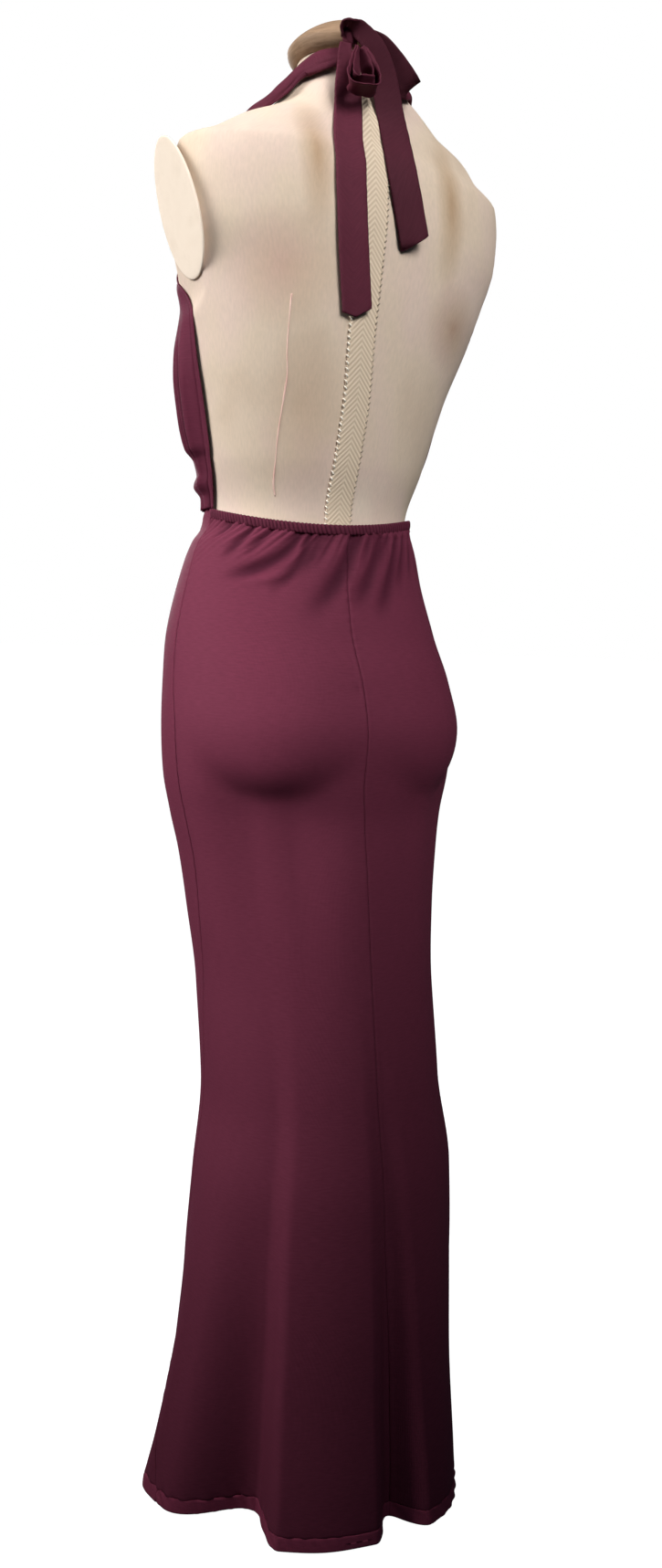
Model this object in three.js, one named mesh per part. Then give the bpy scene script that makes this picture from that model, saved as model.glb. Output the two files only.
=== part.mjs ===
// A mermaid dress with a halter neck, an open back and a bow at the nape, on a limbless dress form.
// Millimetres, +Z up. The front faces -Y and the wearer's left side is +X.
// The origin is on the floor, in the middle of the stand's round base.
// Angles go round the figure in degrees: 0 at the left side, 90 centre back, 180 right side, 270 front.

import * as THREE from 'three';

// Driving dimensions
const seamGap = 0.3; // between pieces that meet
const seamSpare = 1.6; // widens the gap at seams that run aslant
const clothWall = 1.8; // one layer of jersey with its drape
const hemWall = 3.0; // jersey turned up
const hemLevel = 8; // hem above the floor
const hemHeight = 14;
const waistLevel = 1008;
const casingHeight = 9; // elastic casing across the open back
const casingWall = 3.0;
const casingProud = 1.2; // casing outside the skirt below it
const casingShare = 1 / 3; // its top and bottom edges are less proud, and thinner
const casingEndAngle = 0.8; // from the side seam to the casing's end
const backDip = 12; // the back waist is lower in the middle
const waistLean = 9; // and lower on the left than on the right
const bodiceTop = 1318; // where the gathered panel becomes a strap
const frontEaseShare = 0.55; // of the full ease, along the bodice's front edge
const frontEaseSpan = 0.4; // of the panel's breadth, over which it grows to the full ease
const sideEaseSpan = 0.3; // of the breadth, over which it shrinks to the side edge's ease
const armholeEase = 9; // of the bodice over the form's flats
const armholeRound = 6; // where it comes on to them
const torsoFloor = 690; // lower end of the form's body
const boardHeight = 9;
const boardInset = 6; // board inside the form's side
const boardTaper = 2;
const poleRadius = 16;
const baseRadius = 100;
const baseHeight = 16;
const baseBevel = 4;
const collarRadius = 27;
const collarHeight = 34;
const collarBevel = 5;
const tapeWidth = 29;
const tapeWall = 0.8;
const tapeLift = 0.9; // tape clear of the form's facets
const plateWall = 2.7;
const capRadius = 54;
const capFoot = 43; // the cap's underside is smaller, over the neck
const capHeight = 43;
const capLip = 12; // from its underside to its widest
const capDome = 1.5; // above 1 the dome is more pointed than an ellipse

// A table is a row of column names, then a row for each section or fold.
function table(names, ...rows) {
  return rows.map((row) => Object.fromEntries(names.map((name, k) => [name, row[k]])));
}

// The form's body: an oval at each level. back and front are its depths from the middle line at shiftY.
const torsoRings = table(
  ['level', 'width', 'back', 'front', 'shiftX', 'shiftY'],
  [690, 140, 100, 88, 0, 4],
  [740, 150, 112, 94, 0, 6],
  [790, 156, 118, 97, 0, 8],
  [840, 152, 112, 98, 0, 5],
  [900, 141, 98, 97, 0, 0],
  [960, 122, 80, 90, 0, -2],
  [1005, 111, 75, 84, 0, -2],
  [1060, 124, 78, 92, 0, 6],
  [1130, 142, 83, 108, 0, 14],
  [1180, 157, 86, 116, -4, 19],
  [1230, 173, 88, 112, -8, 23],
  [1270, 186, 88, 106, -8, 26],
  [1305, 187, 84, 94, -7, 28],
  [1336, 183, 76, 76, -8, 29],
  [1352.5, 155, 68, 66, -11, 29],
  [1370, 129, 62, 62, -15, 29],
  [1386, 97, 56, 58, -15, 29],
  [1402, 78, 53, 55, -12, 28],
  [1415, 61, 51, 53, -8, 26],
  [1428, 50, 48, 50, -4, 24],
  [1442, 44, 44, 45, -1, 22],
);

// The skirt's outer face: an oval at each level, the seat's fullness, and the angles of its seams.
const skirtRings = table(
  ['level', 'width', 'back', 'front', 'shiftX', 'shiftY', 'seat', 'leftSeam', 'backSeam'],
  [8, 150, 150, 165, 0, 55, 0, 12, 90],
  [60, 149, 143, 158, -2, 58, 0, 4, 90],
  [130, 149, 133, 146, -4, 62, 0, -5, 90],
  [220, 149, 124, 134, -6, 66, 0, -13, 89],
  [320, 146, 117, 124, -8, 65, 0, -15, 88],
  [420, 133, 112, 120, -7, 56, 0, -12, 88],
  [520, 132, 111, 122, -4, 43, 1, -5, 89],
  [600, 139, 112, 123, -2, 33, 2, 3, 89],
  [660, 147, 113, 124, -1, 27, 3, 7, 88.5],
  [700, 155, 116, 123, 0, 22, 4, 8, 88],
  [740, 163, 125, 122, 0, 19, 6, 8, 86],
  [790, 167, 131, 121, -1, 17, 6, 7, 85.5],
  [840, 162, 124, 114, 0, 8, 4, 5, 86],
  [890, 152, 110, 107, 2, -2, 2, 3, 86],
  [940, 138, 97, 101, 2, -6, 0, 2, 86.5],
  [975, 127, 89.5, 97, 1, -5, 0, 0, 88],
  [990, 119, 86, 90, 0, -3, 0, 0, 88],
  [1008, 114.8, 81.5, 88.5, 0, -3, 0, 0, 88],
);
const rightSeam = 180;

// Flutes of the flared hem: each is a bump between two soft flanks, and dies away at its top level.
const hemFlutes = table(
  ['name', 'angle', 'halfSpan', 'leftFlank', 'rightFlank', 'depth', 'top'],
  ['left side', 10, 28, 24, 24, 51, 400],
  ['centre back', 66, 26, 12, 12, 48, 560],
  ['right back', 115, 30, 14, 42, 51, 500],
  ['right side', 194, 30, 24, 24, 42, 400],
  ['right front', 247, 24, 18, 18, 30, 400],
  ['left front', 288, 24, 18, 18, 24, 400],
);
const fluteFade = 1.6;

// Large creases of the skirt, each a soft trough (negative) or ridge from one end to the other.
const skirtFolds = table(
  ['name', 'fromAngle', 'fromLevel', 'toAngle', 'toLevel', 'halfWidth', 'height'],
  ['under the seat', 22, 716, 70, 712, 17, -5],
  ['left gather', 40, 980, 8, 925, 8, -3],
  ['middle gather', 74, 975, 34, 890, 9, -3],
  ['seam gather', 84, 970, 66, 900, 9, -2.5],
  ['right gather', 112, 978, 128, 905, 9, -2.5],
);

// Ease of the bodice over the form, at its side edge and on its full part, and its two edges.
// Here angles count from centre front towards the side.
const bodiceRows = table(
  ['level', 'sideEase', 'fullEase', 'frontEdge', 'sideEdge'],
  [1008, 4, 8, 0, 90],
  [1020, 4, 8, 0, 91],
  [1031, 4, 14, 0, 92],
  [1043, 4, 9, 0, 93],
  [1056, 4, 10, 0, 93],
  [1066, 4, 17, 0, 94],
  [1090, 4, 21, 0, 94],
  [1120, 4, 20, 0, 94],
  [1157, 6, 14, 3, 93],
  [1185, 7, 11, 6, 90],
  [1200, 5, 9, 8, 84],
  [1212, 6, 9, 10, 75],
  [1225, 6, 9, 12, 64],
  [1245, 6, 9, 14, 50],
  [1280, 6, 8, 18, 42],
  [bodiceTop, 5, 7, 22, 36],
);

// Middle lines of the soft rolled straps, from the bodice over the shoulder to the knot, with the
// directions that their flatter sides face.
const leftStrapPath = table(
  ['x', 'y', 'z', 'width', 'thick', 'faceX', 'faceY', 'faceZ'],
  [82.5, -46.5, 1329.5, 34, 5, 0.2, -0.82, 0.54],
  [87, -30, 1353, 27, 7, 0.25, -0.78, 0.57],
  [92.5, -11.5, 1372.5, 22, 9, 0.38, -0.58, 0.72],
  [94.5, 6, 1381, 20, 7, 0.45, -0.27, 0.85],
  [94.5, 20, 1384, 20, 7.5, 0.47, -0.07, 0.88],
  [87.5, 34, 1388.7, 22, 9, 0.54, 0.09, 0.84],
  [77, 39.5, 1398.5, 25, 10, 0.73, 0.17, 0.66],
  [66, 39.5, 1409.5, 24, 10, 0.66, 0.17, 0.73],
  [55.5, 41, 1420, 25, 10, 0.78, 0.25, 0.57],
  [48.5, 49.5, 1425.5, 26, 10, 0.78, 0.42, 0.46],
  [40, 58.5, 1429, 24, 9, 0.71, 0.61, 0.36],
  [29.5, 66, 1432, 19, 7, 0.56, 0.76, 0.32],
);
const rightStrapPath = table(
  ['x', 'y', 'z', 'width', 'thick', 'faceX', 'faceY', 'faceZ'],
  [-99.5, -47, 1330.5, 34, 5, -0.2, -0.84, 0.51],
  [-99, -32.5, 1356.5, 27, 7, -0.24, -0.86, 0.45],
  [-95, -13.5, 1387.5, 22, 9, -0.41, -0.62, 0.67],
  [-88.5, 5, 1407.5, 20, 10, -0.56, -0.32, 0.77],
  [-78.5, 22, 1417, 20, 10, -0.52, -0.05, 0.85],
  [-69, 37.5, 1422.5, 20, 10, -0.59, 0.15, 0.79],
  [-62, 52.5, 1423.5, 16, 8, -0.56, 0.35, 0.75],
  [-52.5, 65, 1421, 14, 7, -0.49, 0.56, 0.67],
  [-41.5, 78.5, 1412, 13, 6, -0.3, 0.8, 0.52],
  [-26.5, 82, 1410, 15, 5, -0.16, 0.91, 0.38],
  [-8, 81.5, 1417.5, 15, 6, -0.01, 0.94, 0.33],
  [7.5, 77, 1424.5, 13, 5, 0.2, 0.92, 0.34],
);

// The bow's hanging parts, from the knot. width is across the strip.
const leftTailPath = table(
  ['x', 'y', 'z', 'width'],
  [35, 84, 1435.5, 11],
  [35.5, 85, 1426.5, 15],
  [34, 85.5, 1417, 19],
  [33, 86, 1406, 23],
  [32.5, 87, 1395, 26],
  [31, 87, 1378.5, 28],
  [39, 101.5, 1347, 29],
  [41, 111, 1323.5, 30],
  [42, 115, 1303, 30],
  [39, 116.5, 1262.5, 30],
  [33, 114, 1224.5, 30],
  [28, 111.5, 1198.5, 30],
  [25.5, 110, 1186, 30],
);
const rightTailPath = table(
  ['x', 'y', 'z', 'width'],
  [35.5, 78, 1444, 9],
  [37.5, 82, 1449, 11],
  [36, 87, 1451.5, 13],
  [28.5, 90, 1449, 15],
  [19, 92, 1444, 18],
  [10.5, 93.5, 1436.5, 21],
  [3, 93.5, 1426, 23.5],
  [-3.5, 93, 1413, 25.5],
  [-8, 93, 1398.5, 27],
  [-12, 94.8, 1380.5, 28],
  [-13.5, 102.3, 1359, 29],
  [-13.5, 117, 1322.5, 30],
  [-26.5, 122, 1268, 30],
  [-31, 121, 1257.5, 30],
);
const hangingLoopPath = table(
  ['x', 'y', 'z', 'width'],
  [31, 97.5, 1428, 6],
  [35.5, 99, 1416.5, 12],
  [39.5, 101.5, 1402.5, 18],
  [40.5, 104, 1395, 20],
  [35, 104.5, 1392, 20],
  [25, 104.5, 1392.5, 20],
  [14.5, 104, 1395, 20],
  [11.5, 102.5, 1403, 19],
  [14.5, 100.5, 1414.5, 16],
  [20, 98, 1425, 10],
  [24.5, 96.5, 1429.5, 6],
);
const sideLoopPath = table(
  ['x', 'y', 'z', 'width'],
  [18.5, 83.5, 1449.5, 9],
  [8.5, 85, 1447.5, 13],
  [-2, 87.5, 1441.5, 18],
  [-12, 93, 1431.5, 21],
  [-21, 97.5, 1420, 23],
  [-28, 99, 1411.5, 24],
  [-32, 98, 1409.5, 24],
  [-31, 96, 1413, 24],
  [-24.5, 94, 1422, 23],
  [-15, 89.5, 1435, 21],
  [-5, 83.5, 1444.5, 18],
  [6, 81, 1449.5, 13],
  [16.5, 80, 1451.5, 9],
);
const knot = { x: 23.5, y: 78.5, z: 1442, halfWidth: 6.5, halfDepth: 5.5, halfHeight: 6.5 };

// The way that the breadth of each loop and tail points. The right tail comes over the knot as a hood,
// its breadth backwards, then turns to lie along the back.
const hangingLoopBreadth = new THREE.Vector3(0.5, 0.8, 0.25);
const sideLoopBreadth = new THREE.Vector3(-0.35, 0.69, 0.6);
const leftTailBreadth = new THREE.Vector3(-0.97, 0.25, 0);
const hoodBreadth = new THREE.Vector3(0.5, 0.8, 0.1);
const rightTailBreadth = new THREE.Vector3(-0.95, 0.3, 0);
const hoodEnd = { from: 0.12, span: 0.18 };

// The oval plates that close the form's armholes lie on flats that lean inwards to their foot.
const plate = {
  x: 170.5,
  y: 20,
  z: 1278,
  halfHeight: 65,
  halfBreadth: 42,
  egg: 0.06,
  lean: 15, // inwards to the foot
  toe: 4, // of its face towards the front
  roll: 11, // of its long axis, the top forwards
};
const flatFoot = 1212; // below this the flat rounds back into the side
const flatEase = 8.5;

// The centre back tape of the form.
const tapeLine = table(
  ['level', 'x'],
  [torsoFloor, 12],
  [1000, 13],
  [1105, 11.5],
  [1186, 15.5],
  [1309, 13],
  [1387, 8],
  [1442, 4],
);

// Numbers of facets
const backColumns = 15;
const frontColumns = 16;
const casingColumns = 30;
const bodiceColumns = 10;
const torsoColumns = 40;
const strapSteps = 16;
const strapSides = 8;
const tieSteps = 24;
const rightTailSteps = 32;
const sideLoopSteps = 24;
const knotSegments = 20;
const plateSegments = 40;
const poleSegments = 20;
const capSegments = 28;
const baseSegments = 40;
const skirtLevels = [
  60, 110, 165, 225, 290, 355, 420, 485, 550, 600, 645, 685, 715, 745, 790, 840, 890, 925, 955, 980,
];
const torsoLevels = [
  690, 740, 790, 840, 870, 900, 930, 960, 985, 1005, 1030, 1060, 1095,
  1130, 1157, 1176, 1190, 1198, 1206, 1218, 1232, 1250, 1270, 1288, 1305,
  1320, 1334, 1343, 1352, 1361, 1370, 1378, 1386, 1394, 1402, 1409, 1415, 1421, 1428, 1435, 1442,
];

// Materials, from the record's slots
function finish(colour, roughness, metalness = 0) {
  return new THREE.MeshStandardMaterial({ color: colour, roughness, metalness });
}
const burgundyJersey = () => finish(0x5e2a3b, 0.85);
const creamLinen = () => finish(0xddccb6, 0.9);
const herringboneTape = () => finish(0xcdbfa6, 0.9);
const palePlate = () => finish(0xf0dfd2, 0.55);
const brownWood = () => finish(0x755c49, 0.5);
const blackIron = () => finish(0x1d1d1f, 0.45, 0.9);
const paleSteel = () => finish(0xb9bcc0, 0.3, 1);

const radians = THREE.MathUtils.degToRad;

// Soft step from 0 to 1.
function softStep(t) {
  const s = THREE.MathUtils.clamp(t, 0, 1);
  return s * s * (3 - 2 * s);
}

// A column of a table read at any value of its key column, along a curve with no overshoot.
function read(rows, key, name, at) {
  const last = rows.length - 1;
  let i = rows.findIndex((row) => row[key] > at) - 1;
  if (i === -2) i = last - 1;
  i = Math.max(i, 0);
  const slope = (k) => (rows[k + 1][name] - rows[k][name]) / (rows[k + 1][key] - rows[k][key]);
  const tangent = (k) => {
    if (k === 0) return slope(0);
    if (k === last) return slope(last - 1);
    const before = slope(k - 1);
    const after = slope(k);
    return before * after > 0 ? (2 * before * after) / (before + after) : 0;
  };
  const span = rows[i + 1][key] - rows[i][key];
  const t = THREE.MathUtils.clamp((at - rows[i][key]) / span, 0, 1);
  const rise = 3 * t * t - 2 * t * t * t;
  return (
    rows[i][name] * (1 - rise) +
    rows[i + 1][name] * rise +
    tangent(i) * span * t * (1 - t) * (1 - t) -
    tangent(i + 1) * span * t * t * (1 - t)
  );
}

// The point of a surface moved out along its normal; angles in degrees, levels in millimetres.
function movedOut(surface, angle, level, out) {
  const aside = 0.4;
  const above = 1.5;
  const along = surface(angle + aside, level).sub(surface(angle - aside, level));
  const up = surface(angle, level + above).sub(surface(angle, level - above));
  const normal = along.cross(up).normalize();
  return surface(angle, level).addScaledVector(normal, out);
}

// The limit that a flat for an arm plate puts on the form's half width.
function flatLimit(y, z) {
  const inwards = Math.tan(radians(plate.lean)) / Math.cos(radians(plate.toe));
  const forward = Math.tan(radians(plate.toe));
  const rounding = Math.max(0, (flatFoot - z) / flatEase) ** 2;
  return plate.x + (z - plate.z) * inwards + (y - plate.y) * forward + rounding;
}

// An oval of the form at a level, before the arm flats are cut.
function torsoOval(angle, level, ease = 0) {
  const get = (name) => read(torsoRings, 'level', name, level);
  const a = radians(angle);
  const depth = Math.sin(a) > 0 ? get('back') : get('front');
  const x = get('shiftX') + (get('width') + ease) * Math.cos(a);
  const y = get('shiftY') + (depth + ease) * Math.sin(a);
  return new THREE.Vector3(x, y, level);
}

function torsoPoint(angle, level) {
  const point = torsoOval(angle, level);
  const limit = flatLimit(point.y, level);
  point.x = THREE.MathUtils.clamp(point.x, -limit, limit);
  return point;
}

// How far the flutes push the skirt out at an angle and a level.
function fluteDepth(angle, level) {
  let depth = 0;
  for (const flute of hemFlutes) {
    const off = THREE.MathUtils.euclideanModulo(angle - flute.angle + 180, 360) - 180;
    const leftSide = softStep((off + flute.halfSpan) / flute.leftFlank);
    const rightSide = softStep((flute.halfSpan - off) / flute.rightFlank);
    const rise = THREE.MathUtils.clamp((flute.top - level) / (flute.top - hemLevel), 0, 1);
    depth += flute.depth * leftSide * rightSide * rise ** fluteFade;
  }
  return depth;
}

// Height of the large creases at an angle and a level; each fades to nothing at its ends.
function foldHeight(angle, level, radius) {
  let height = 0;
  for (const fold of skirtFolds) {
    const alongX = radians(fold.toAngle - fold.fromAngle) * radius;
    const alongZ = fold.toLevel - fold.fromLevel;
    const length = Math.hypot(alongX, alongZ);
    const dx = radians(angle - fold.fromAngle) * radius;
    const dz = level - fold.fromLevel;
    const t = (dx * alongX + dz * alongZ) / length ** 2;
    const off = (dx * alongZ - dz * alongX) / length / fold.halfWidth;
    const ends = softStep(4 * t) * softStep(4 * (1 - t));
    height += fold.height * Math.exp(-off * off) * ends;
  }
  return height;
}

function skirtSurface(angle, level) {
  const get = (name) => read(skirtRings, 'level', name, level);
  const a = radians(angle);
  const behind = Math.max(0, Math.sin(a));
  const depth = Math.sin(a) > 0 ? get('back') : get('front');
  const seat = -get('seat') * behind ** 2 * Math.cos(4 * a);
  const point = new THREE.Vector3(get('width') * Math.cos(a), depth * Math.sin(a) + seat, 0);
  const radius = point.length();
  const wrapped = THREE.MathUtils.euclideanModulo(angle + 90, 360) - 90;
  point.multiplyScalar(1 + (fluteDepth(angle, level) + foldHeight(wrapped, level, radius)) / radius);
  return point.add(new THREE.Vector3(get('shiftX'), get('shiftY'), level));
}

// The lesser of a value and a limit, rounded where they meet.
function softLeast(value, limit) {
  return (value + limit - Math.hypot(value - limit, armholeRound)) / 2;
}

// The bodice lies over the form. Its ease is full in the middle, part of that along its front edge,
// and least along its side edge. It is worked out on the left, and lies over the arm's flat too.
function bodiceSurface(angle, level, side) {
  const get = (name) => read(bodiceRows, 'level', name, level);
  const share = (angle - get('frontEdge')) / (get('sideEdge') - get('frontEdge'));
  const fromFront = softStep(share / frontEaseSpan);
  const fullness = softStep((1 - share) / sideEaseSpan) * (frontEaseShare + (1 - frontEaseShare) * fromFront);
  const ease = get('sideEase') + (get('fullEase') - get('sideEase')) * fullness;
  const point = torsoOval(angle - 90, level, ease);
  const moved = side > 0 ? 0 : 2 * read(torsoRings, 'level', 'shiftX', level);
  point.x = softLeast(point.x, flatLimit(point.y, level) + armholeEase + moved);
  return point;
}

const bodiceOn = (side) => (angle, level) => bodiceSurface(angle, level, side);

// Meshes are gathered here, then put into the group.
const dress = new THREE.Group();
function add(name, geometry, material) {
  const mesh = new THREE.Mesh(geometry, material);
  mesh.name = name;
  dress.add(mesh);
  return mesh;
}

function solid(points, triangles) {
  const geometry = new THREE.BufferGeometry();
  geometry.setAttribute('position', new THREE.Float32BufferAttribute(points.flatMap((p) => p.toArray()), 3));
  geometry.setIndex(triangles.flat());
  geometry.computeVertexNormals();
  return geometry;
}

// A wall of cloth: an outer and an inner grid of points, closed round its four edges.
// place(column, row, depth) gives a point that lies depth below the outer face.
function wall(columns, rows, thickness, place) {
  const points = [];
  for (const depth of [0, thickness]) {
    for (let row = 0; row < rows; row += 1) {
      for (let column = 0; column < columns; column += 1) points.push(place(column, row, depth));
    }
  }
  const outer = (column, row) => row * columns + column;
  const inner = (column, row) => outer(column, row) + columns * rows;
  const triangles = [];
  const quad = (a, b, c, d) => triangles.push([a, b, c], [a, c, d]);
  for (let row = 0; row < rows - 1; row += 1) {
    for (let column = 0; column < columns - 1; column += 1) {
      const next = column + 1;
      quad(outer(column, row), outer(next, row), outer(next, row + 1), outer(column, row + 1));
      quad(inner(column, row), inner(column, row + 1), inner(next, row + 1), inner(next, row));
    }
    const end = columns - 1;
    quad(outer(0, row), outer(0, row + 1), inner(0, row + 1), inner(0, row));
    quad(outer(end, row), inner(end, row), inner(end, row + 1), outer(end, row + 1));
  }
  for (let column = 0; column < columns - 1; column += 1) {
    const next = column + 1;
    const top = rows - 1;
    quad(outer(column, 0), inner(column, 0), inner(next, 0), outer(next, 0));
    quad(outer(column, top), outer(next, top), inner(next, top), inner(column, top));
  }
  return solid(points, triangles);
}

// A solid through closed rings of points, each listed anticlockwise about the way the rings go.
function loft(rings) {
  const count = rings[0].length;
  const points = rings.flat();
  const triangles = [];
  for (let ring = 0; ring < rings.length - 1; ring += 1) {
    for (let k = 0; k < count; k += 1) {
      const next = (k + 1) % count;
      const here = ring * count;
      const there = here + count;
      triangles.push([here + k, here + next, there + next], [here + k, there + next, there + k]);
    }
  }
  const middle = (ring) => ring.reduce((sum, p) => sum.add(p), new THREE.Vector3()).divideScalar(count);
  const first = points.push(middle(rings[0])) - 1;
  const last = points.push(middle(rings[rings.length - 1])) - 1;
  const lastRing = (rings.length - 1) * count;
  for (let k = 0; k < count; k += 1) {
    const next = (k + 1) % count;
    triangles.push([first, next, k], [last, lastRing + k, lastRing + next]);
  }
  return solid(points, triangles);
}

// Steps along a path of rows: the place, the way on, and the row's sizes between the rows.
function stepsAlong(rows, steps) {
  const curve = new THREE.CatmullRomCurve3(rows.map((row) => new THREE.Vector3(row.x, row.y, row.z)));
  const keyed = rows.map((row, k) => ({ ...row, share: k / (rows.length - 1) }));
  return Array.from({ length: steps + 1 }, (_, k) => {
    const share = k / steps;
    return {
      share,
      place: curve.getPoint(share),
      way: curve.getTangent(share),
      size: (name) => read(keyed, 'share', name, share),
    };
  });
}

// Two directions square to the way on: across the strip and out of its face.
function strip(way, face) {
  const across = new THREE.Vector3().crossVectors(face, way).normalize();
  const out = new THREE.Vector3().crossVectors(way, across).normalize();
  return { across, out };
}

// A flat strip of cloth along a path. breadthAt gives the way that its breadth points.
function ribbon(rows, steps, breadthAt) {
  const rings = stepsAlong(rows, steps).map(({ share, place, way, size }) => {
    const { across, out } = strip(way, new THREE.Vector3().crossVectors(way, breadthAt(share)));
    const halfWidth = across.multiplyScalar(size('width') / 2);
    const halfWall = out.multiplyScalar(clothWall / 2);
    const corner = (a, b) => place.clone().addScaledVector(halfWidth, a).addScaledVector(halfWall, b);
    return [corner(-1, -1), corner(1, -1), corner(1, 1), corner(-1, 1)];
  });
  return loft(rings);
}

// A soft roll of gathered cloth that goes on from the bodice's top edge along a path on the form.
function strapRoll(rows, side) {
  const round = Array.from({ length: strapSides }, (_, k) => (2 * Math.PI * k) / strapSides);
  const rings = stepsAlong(rows, strapSteps).map(({ place, way, size }) => {
    const { across, out } = strip(way, new THREE.Vector3(size('faceX'), size('faceY'), size('faceZ')));
    return round.map((a) =>
      place
        .clone()
        .addScaledVector(across, (Math.cos(a) * size('width')) / 2)
        .addScaledVector(out, (Math.sin(a) * size('thick')) / 2),
    );
  });
  const edge = bodiceRows[bodiceRows.length - 1];
  const start = round.map((a) => {
    const share = 0.5 - 0.5 * side * Math.cos(a);
    const angle = edge.frontEdge + share * (edge.sideEdge - edge.frontEdge);
    const out = (Math.sin(a) - 1) * (clothWall / 2);
    const point = mirrored(movedOut(bodiceOn(side), angle, bodiceTop, out), bodiceTop, side);
    point.z = bodiceTop + 3 * seamGap;
    return point;
  });
  return loft([start, ...rings]);
}

// Skirt: three panels, with a hem turned up along each and a casing across the back waist.
const hemTop = hemLevel + hemHeight;
function casingTop(angle) {
  const behind = Math.max(0, Math.sin(radians(angle)));
  const lean = waistLean * Math.cos(radians(angle)) * behind ** 0.7;
  return waistLevel - backDip * behind ** 2 - lean;
}
const panelTop = (angle, isBack) => (isBack ? casingTop(angle) - casingHeight - seamGap : waistLevel);

// Angles of a panel's two edges at a level, drawn in by half the gap.
function panelEdges(panel, level) {
  const at = (edge) => (typeof edge === 'string' ? read(skirtRings, 'level', edge, level) : edge);
  const radius = read(skirtRings, 'level', 'width', level);
  const inset = THREE.MathUtils.radToDeg((seamGap / 2 / radius) * seamSpare);
  return [at(panel.from) + inset, at(panel.to) + (panel.lap ?? 0) - inset];
}

const skirtPanels = [
  { name: 'back_left', from: 'leftSeam', to: 'backSeam', isBack: true, columns: backColumns },
  { name: 'back_right', from: 'backSeam', to: rightSeam, isBack: true, columns: backColumns },
  { name: 'front', from: rightSeam, to: 'leftSeam', lap: 360, isBack: false, columns: frontColumns },
];

function panelAngle(panel, column, level) {
  const [from, to] = panelEdges(panel, level);
  return from + ((to - from) * column) / (panel.columns - 1);
}

function addSkirtPanel(panel) {
  const levels = [hemTop + seamGap, ...skirtLevels];
  const geometry = wall(panel.columns, levels.length + 1, clothWall, (column, row, depth) => {
    const nominal = row < levels.length ? levels[row] : waistLevel;
    const angle = panelAngle(panel, column, nominal);
    const level = row < levels.length ? nominal : panelTop(angle, panel.isBack);
    return movedOut(skirtSurface, angle, level, -depth);
  });
  add(`skirt_${panel.name}`, geometry, burgundyJersey());
}

function addHem(panel) {
  const proud = (hemWall - clothWall) / 2;
  const geometry = wall(panel.columns, 2, hemWall, (column, row, depth) => {
    const level = row === 0 ? hemLevel : hemTop;
    return movedOut(skirtSurface, panelAngle(panel, column, level), level, proud - depth);
  });
  add(`hem_${panel.name}`, geometry, burgundyJersey());
}

// Half of the casing lies on each side of centre back; its middle row is the fullest.
function addWaistCasing() {
  const rows = 3;
  const geometry = wall(casingColumns, rows, casingWall, (column, row, depth) => {
    const angle = casingEndAngle + ((rightSeam - 2 * casingEndAngle) * column) / (casingColumns - 1);
    const level = casingTop(angle) - casingHeight * (1 - row / (rows - 1));
    const isMiddle = row === 1;
    const proud = isMiddle ? casingProud : casingProud * casingShare;
    const below = isMiddle ? depth : depth * (1 - casingShare / 2);
    return movedOut(skirtSurface, angle, level, proud - below);
  });
  add('waist_casing', geometry, burgundyJersey());
}

// Bodice: two gathered halter panels, the same on both sides.
function addBodicePanel(name, side) {
  const levels = bodiceRows.map((row) => row.level);
  levels[0] += seamGap;
  const geometry = wall(bodiceColumns, levels.length, clothWall, (column, row, depth) => {
    const level = levels[row];
    const radius = read(torsoRings, 'level', 'width', level);
    const inset = THREE.MathUtils.radToDeg((seamGap / 2 / radius) * seamSpare);
    const from = read(bodiceRows, 'level', 'frontEdge', level) + inset;
    const to = read(bodiceRows, 'level', 'sideEdge', level) - inset;
    const share = column / (bodiceColumns - 1);
    const angle = side > 0 ? from + (to - from) * share : to + (from - to) * share;
    return mirrored(movedOut(bodiceOn(side), angle, level, -depth), level, side);
  });
  add(name, geometry, burgundyJersey());
}

// The same point on the other half of the form.
function mirrored(point, level, side) {
  const middle = read(torsoRings, 'level', 'shiftX', level);
  point.x = middle + (point.x - middle) * side;
  return point;
}

function addKnot() {
  const geometry = new THREE.SphereGeometry(1, knotSegments, knotSegments / 2);
  geometry.scale(knot.halfWidth, knot.halfDepth, knot.halfHeight);
  add('tie_knot', geometry, burgundyJersey()).position.set(knot.x, knot.y, knot.z);
}

function addBow() {
  const hoodToTail = (share) =>
    hoodBreadth.clone().lerp(rightTailBreadth, softStep((share - hoodEnd.from) / hoodEnd.span));
  add('tie_tail_left', ribbon(leftTailPath, tieSteps, () => leftTailBreadth), burgundyJersey());
  add('tie_tail_right', ribbon(rightTailPath, rightTailSteps, hoodToTail), burgundyJersey());
  add('tie_loop_hanging', ribbon(hangingLoopPath, tieSteps, () => hangingLoopBreadth), burgundyJersey());
  add('tie_loop_side', ribbon(sideLoopPath, sideLoopSteps, () => sideLoopBreadth), burgundyJersey());
}

// Dress form
function addTorso() {
  const rings = torsoLevels.map((level) =>
    Array.from({ length: torsoColumns }, (_, k) => torsoPoint((360 * k) / torsoColumns, level)),
  );
  add('form_body', loft(rings), creamLinen());
}

function addCentreTape() {
  const acrossPoints = 3;
  const geometry = wall(acrossPoints, torsoLevels.length, tapeWall, (column, row, depth) => {
    const level = torsoLevels[row];
    const x = read(tapeLine, 'level', 'x', level) + tapeWidth * (0.5 - column / (acrossPoints - 1));
    const middle = read(torsoRings, 'level', 'shiftX', level);
    const cosine = (x - middle) / read(torsoRings, 'level', 'width', level);
    const angle = THREE.MathUtils.radToDeg(Math.acos(cosine));
    return movedOut(torsoPoint, angle, level, tapeLift + tapeWall - depth);
  });
  add('form_centre_tape', geometry, herringboneTape());
}

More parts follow.
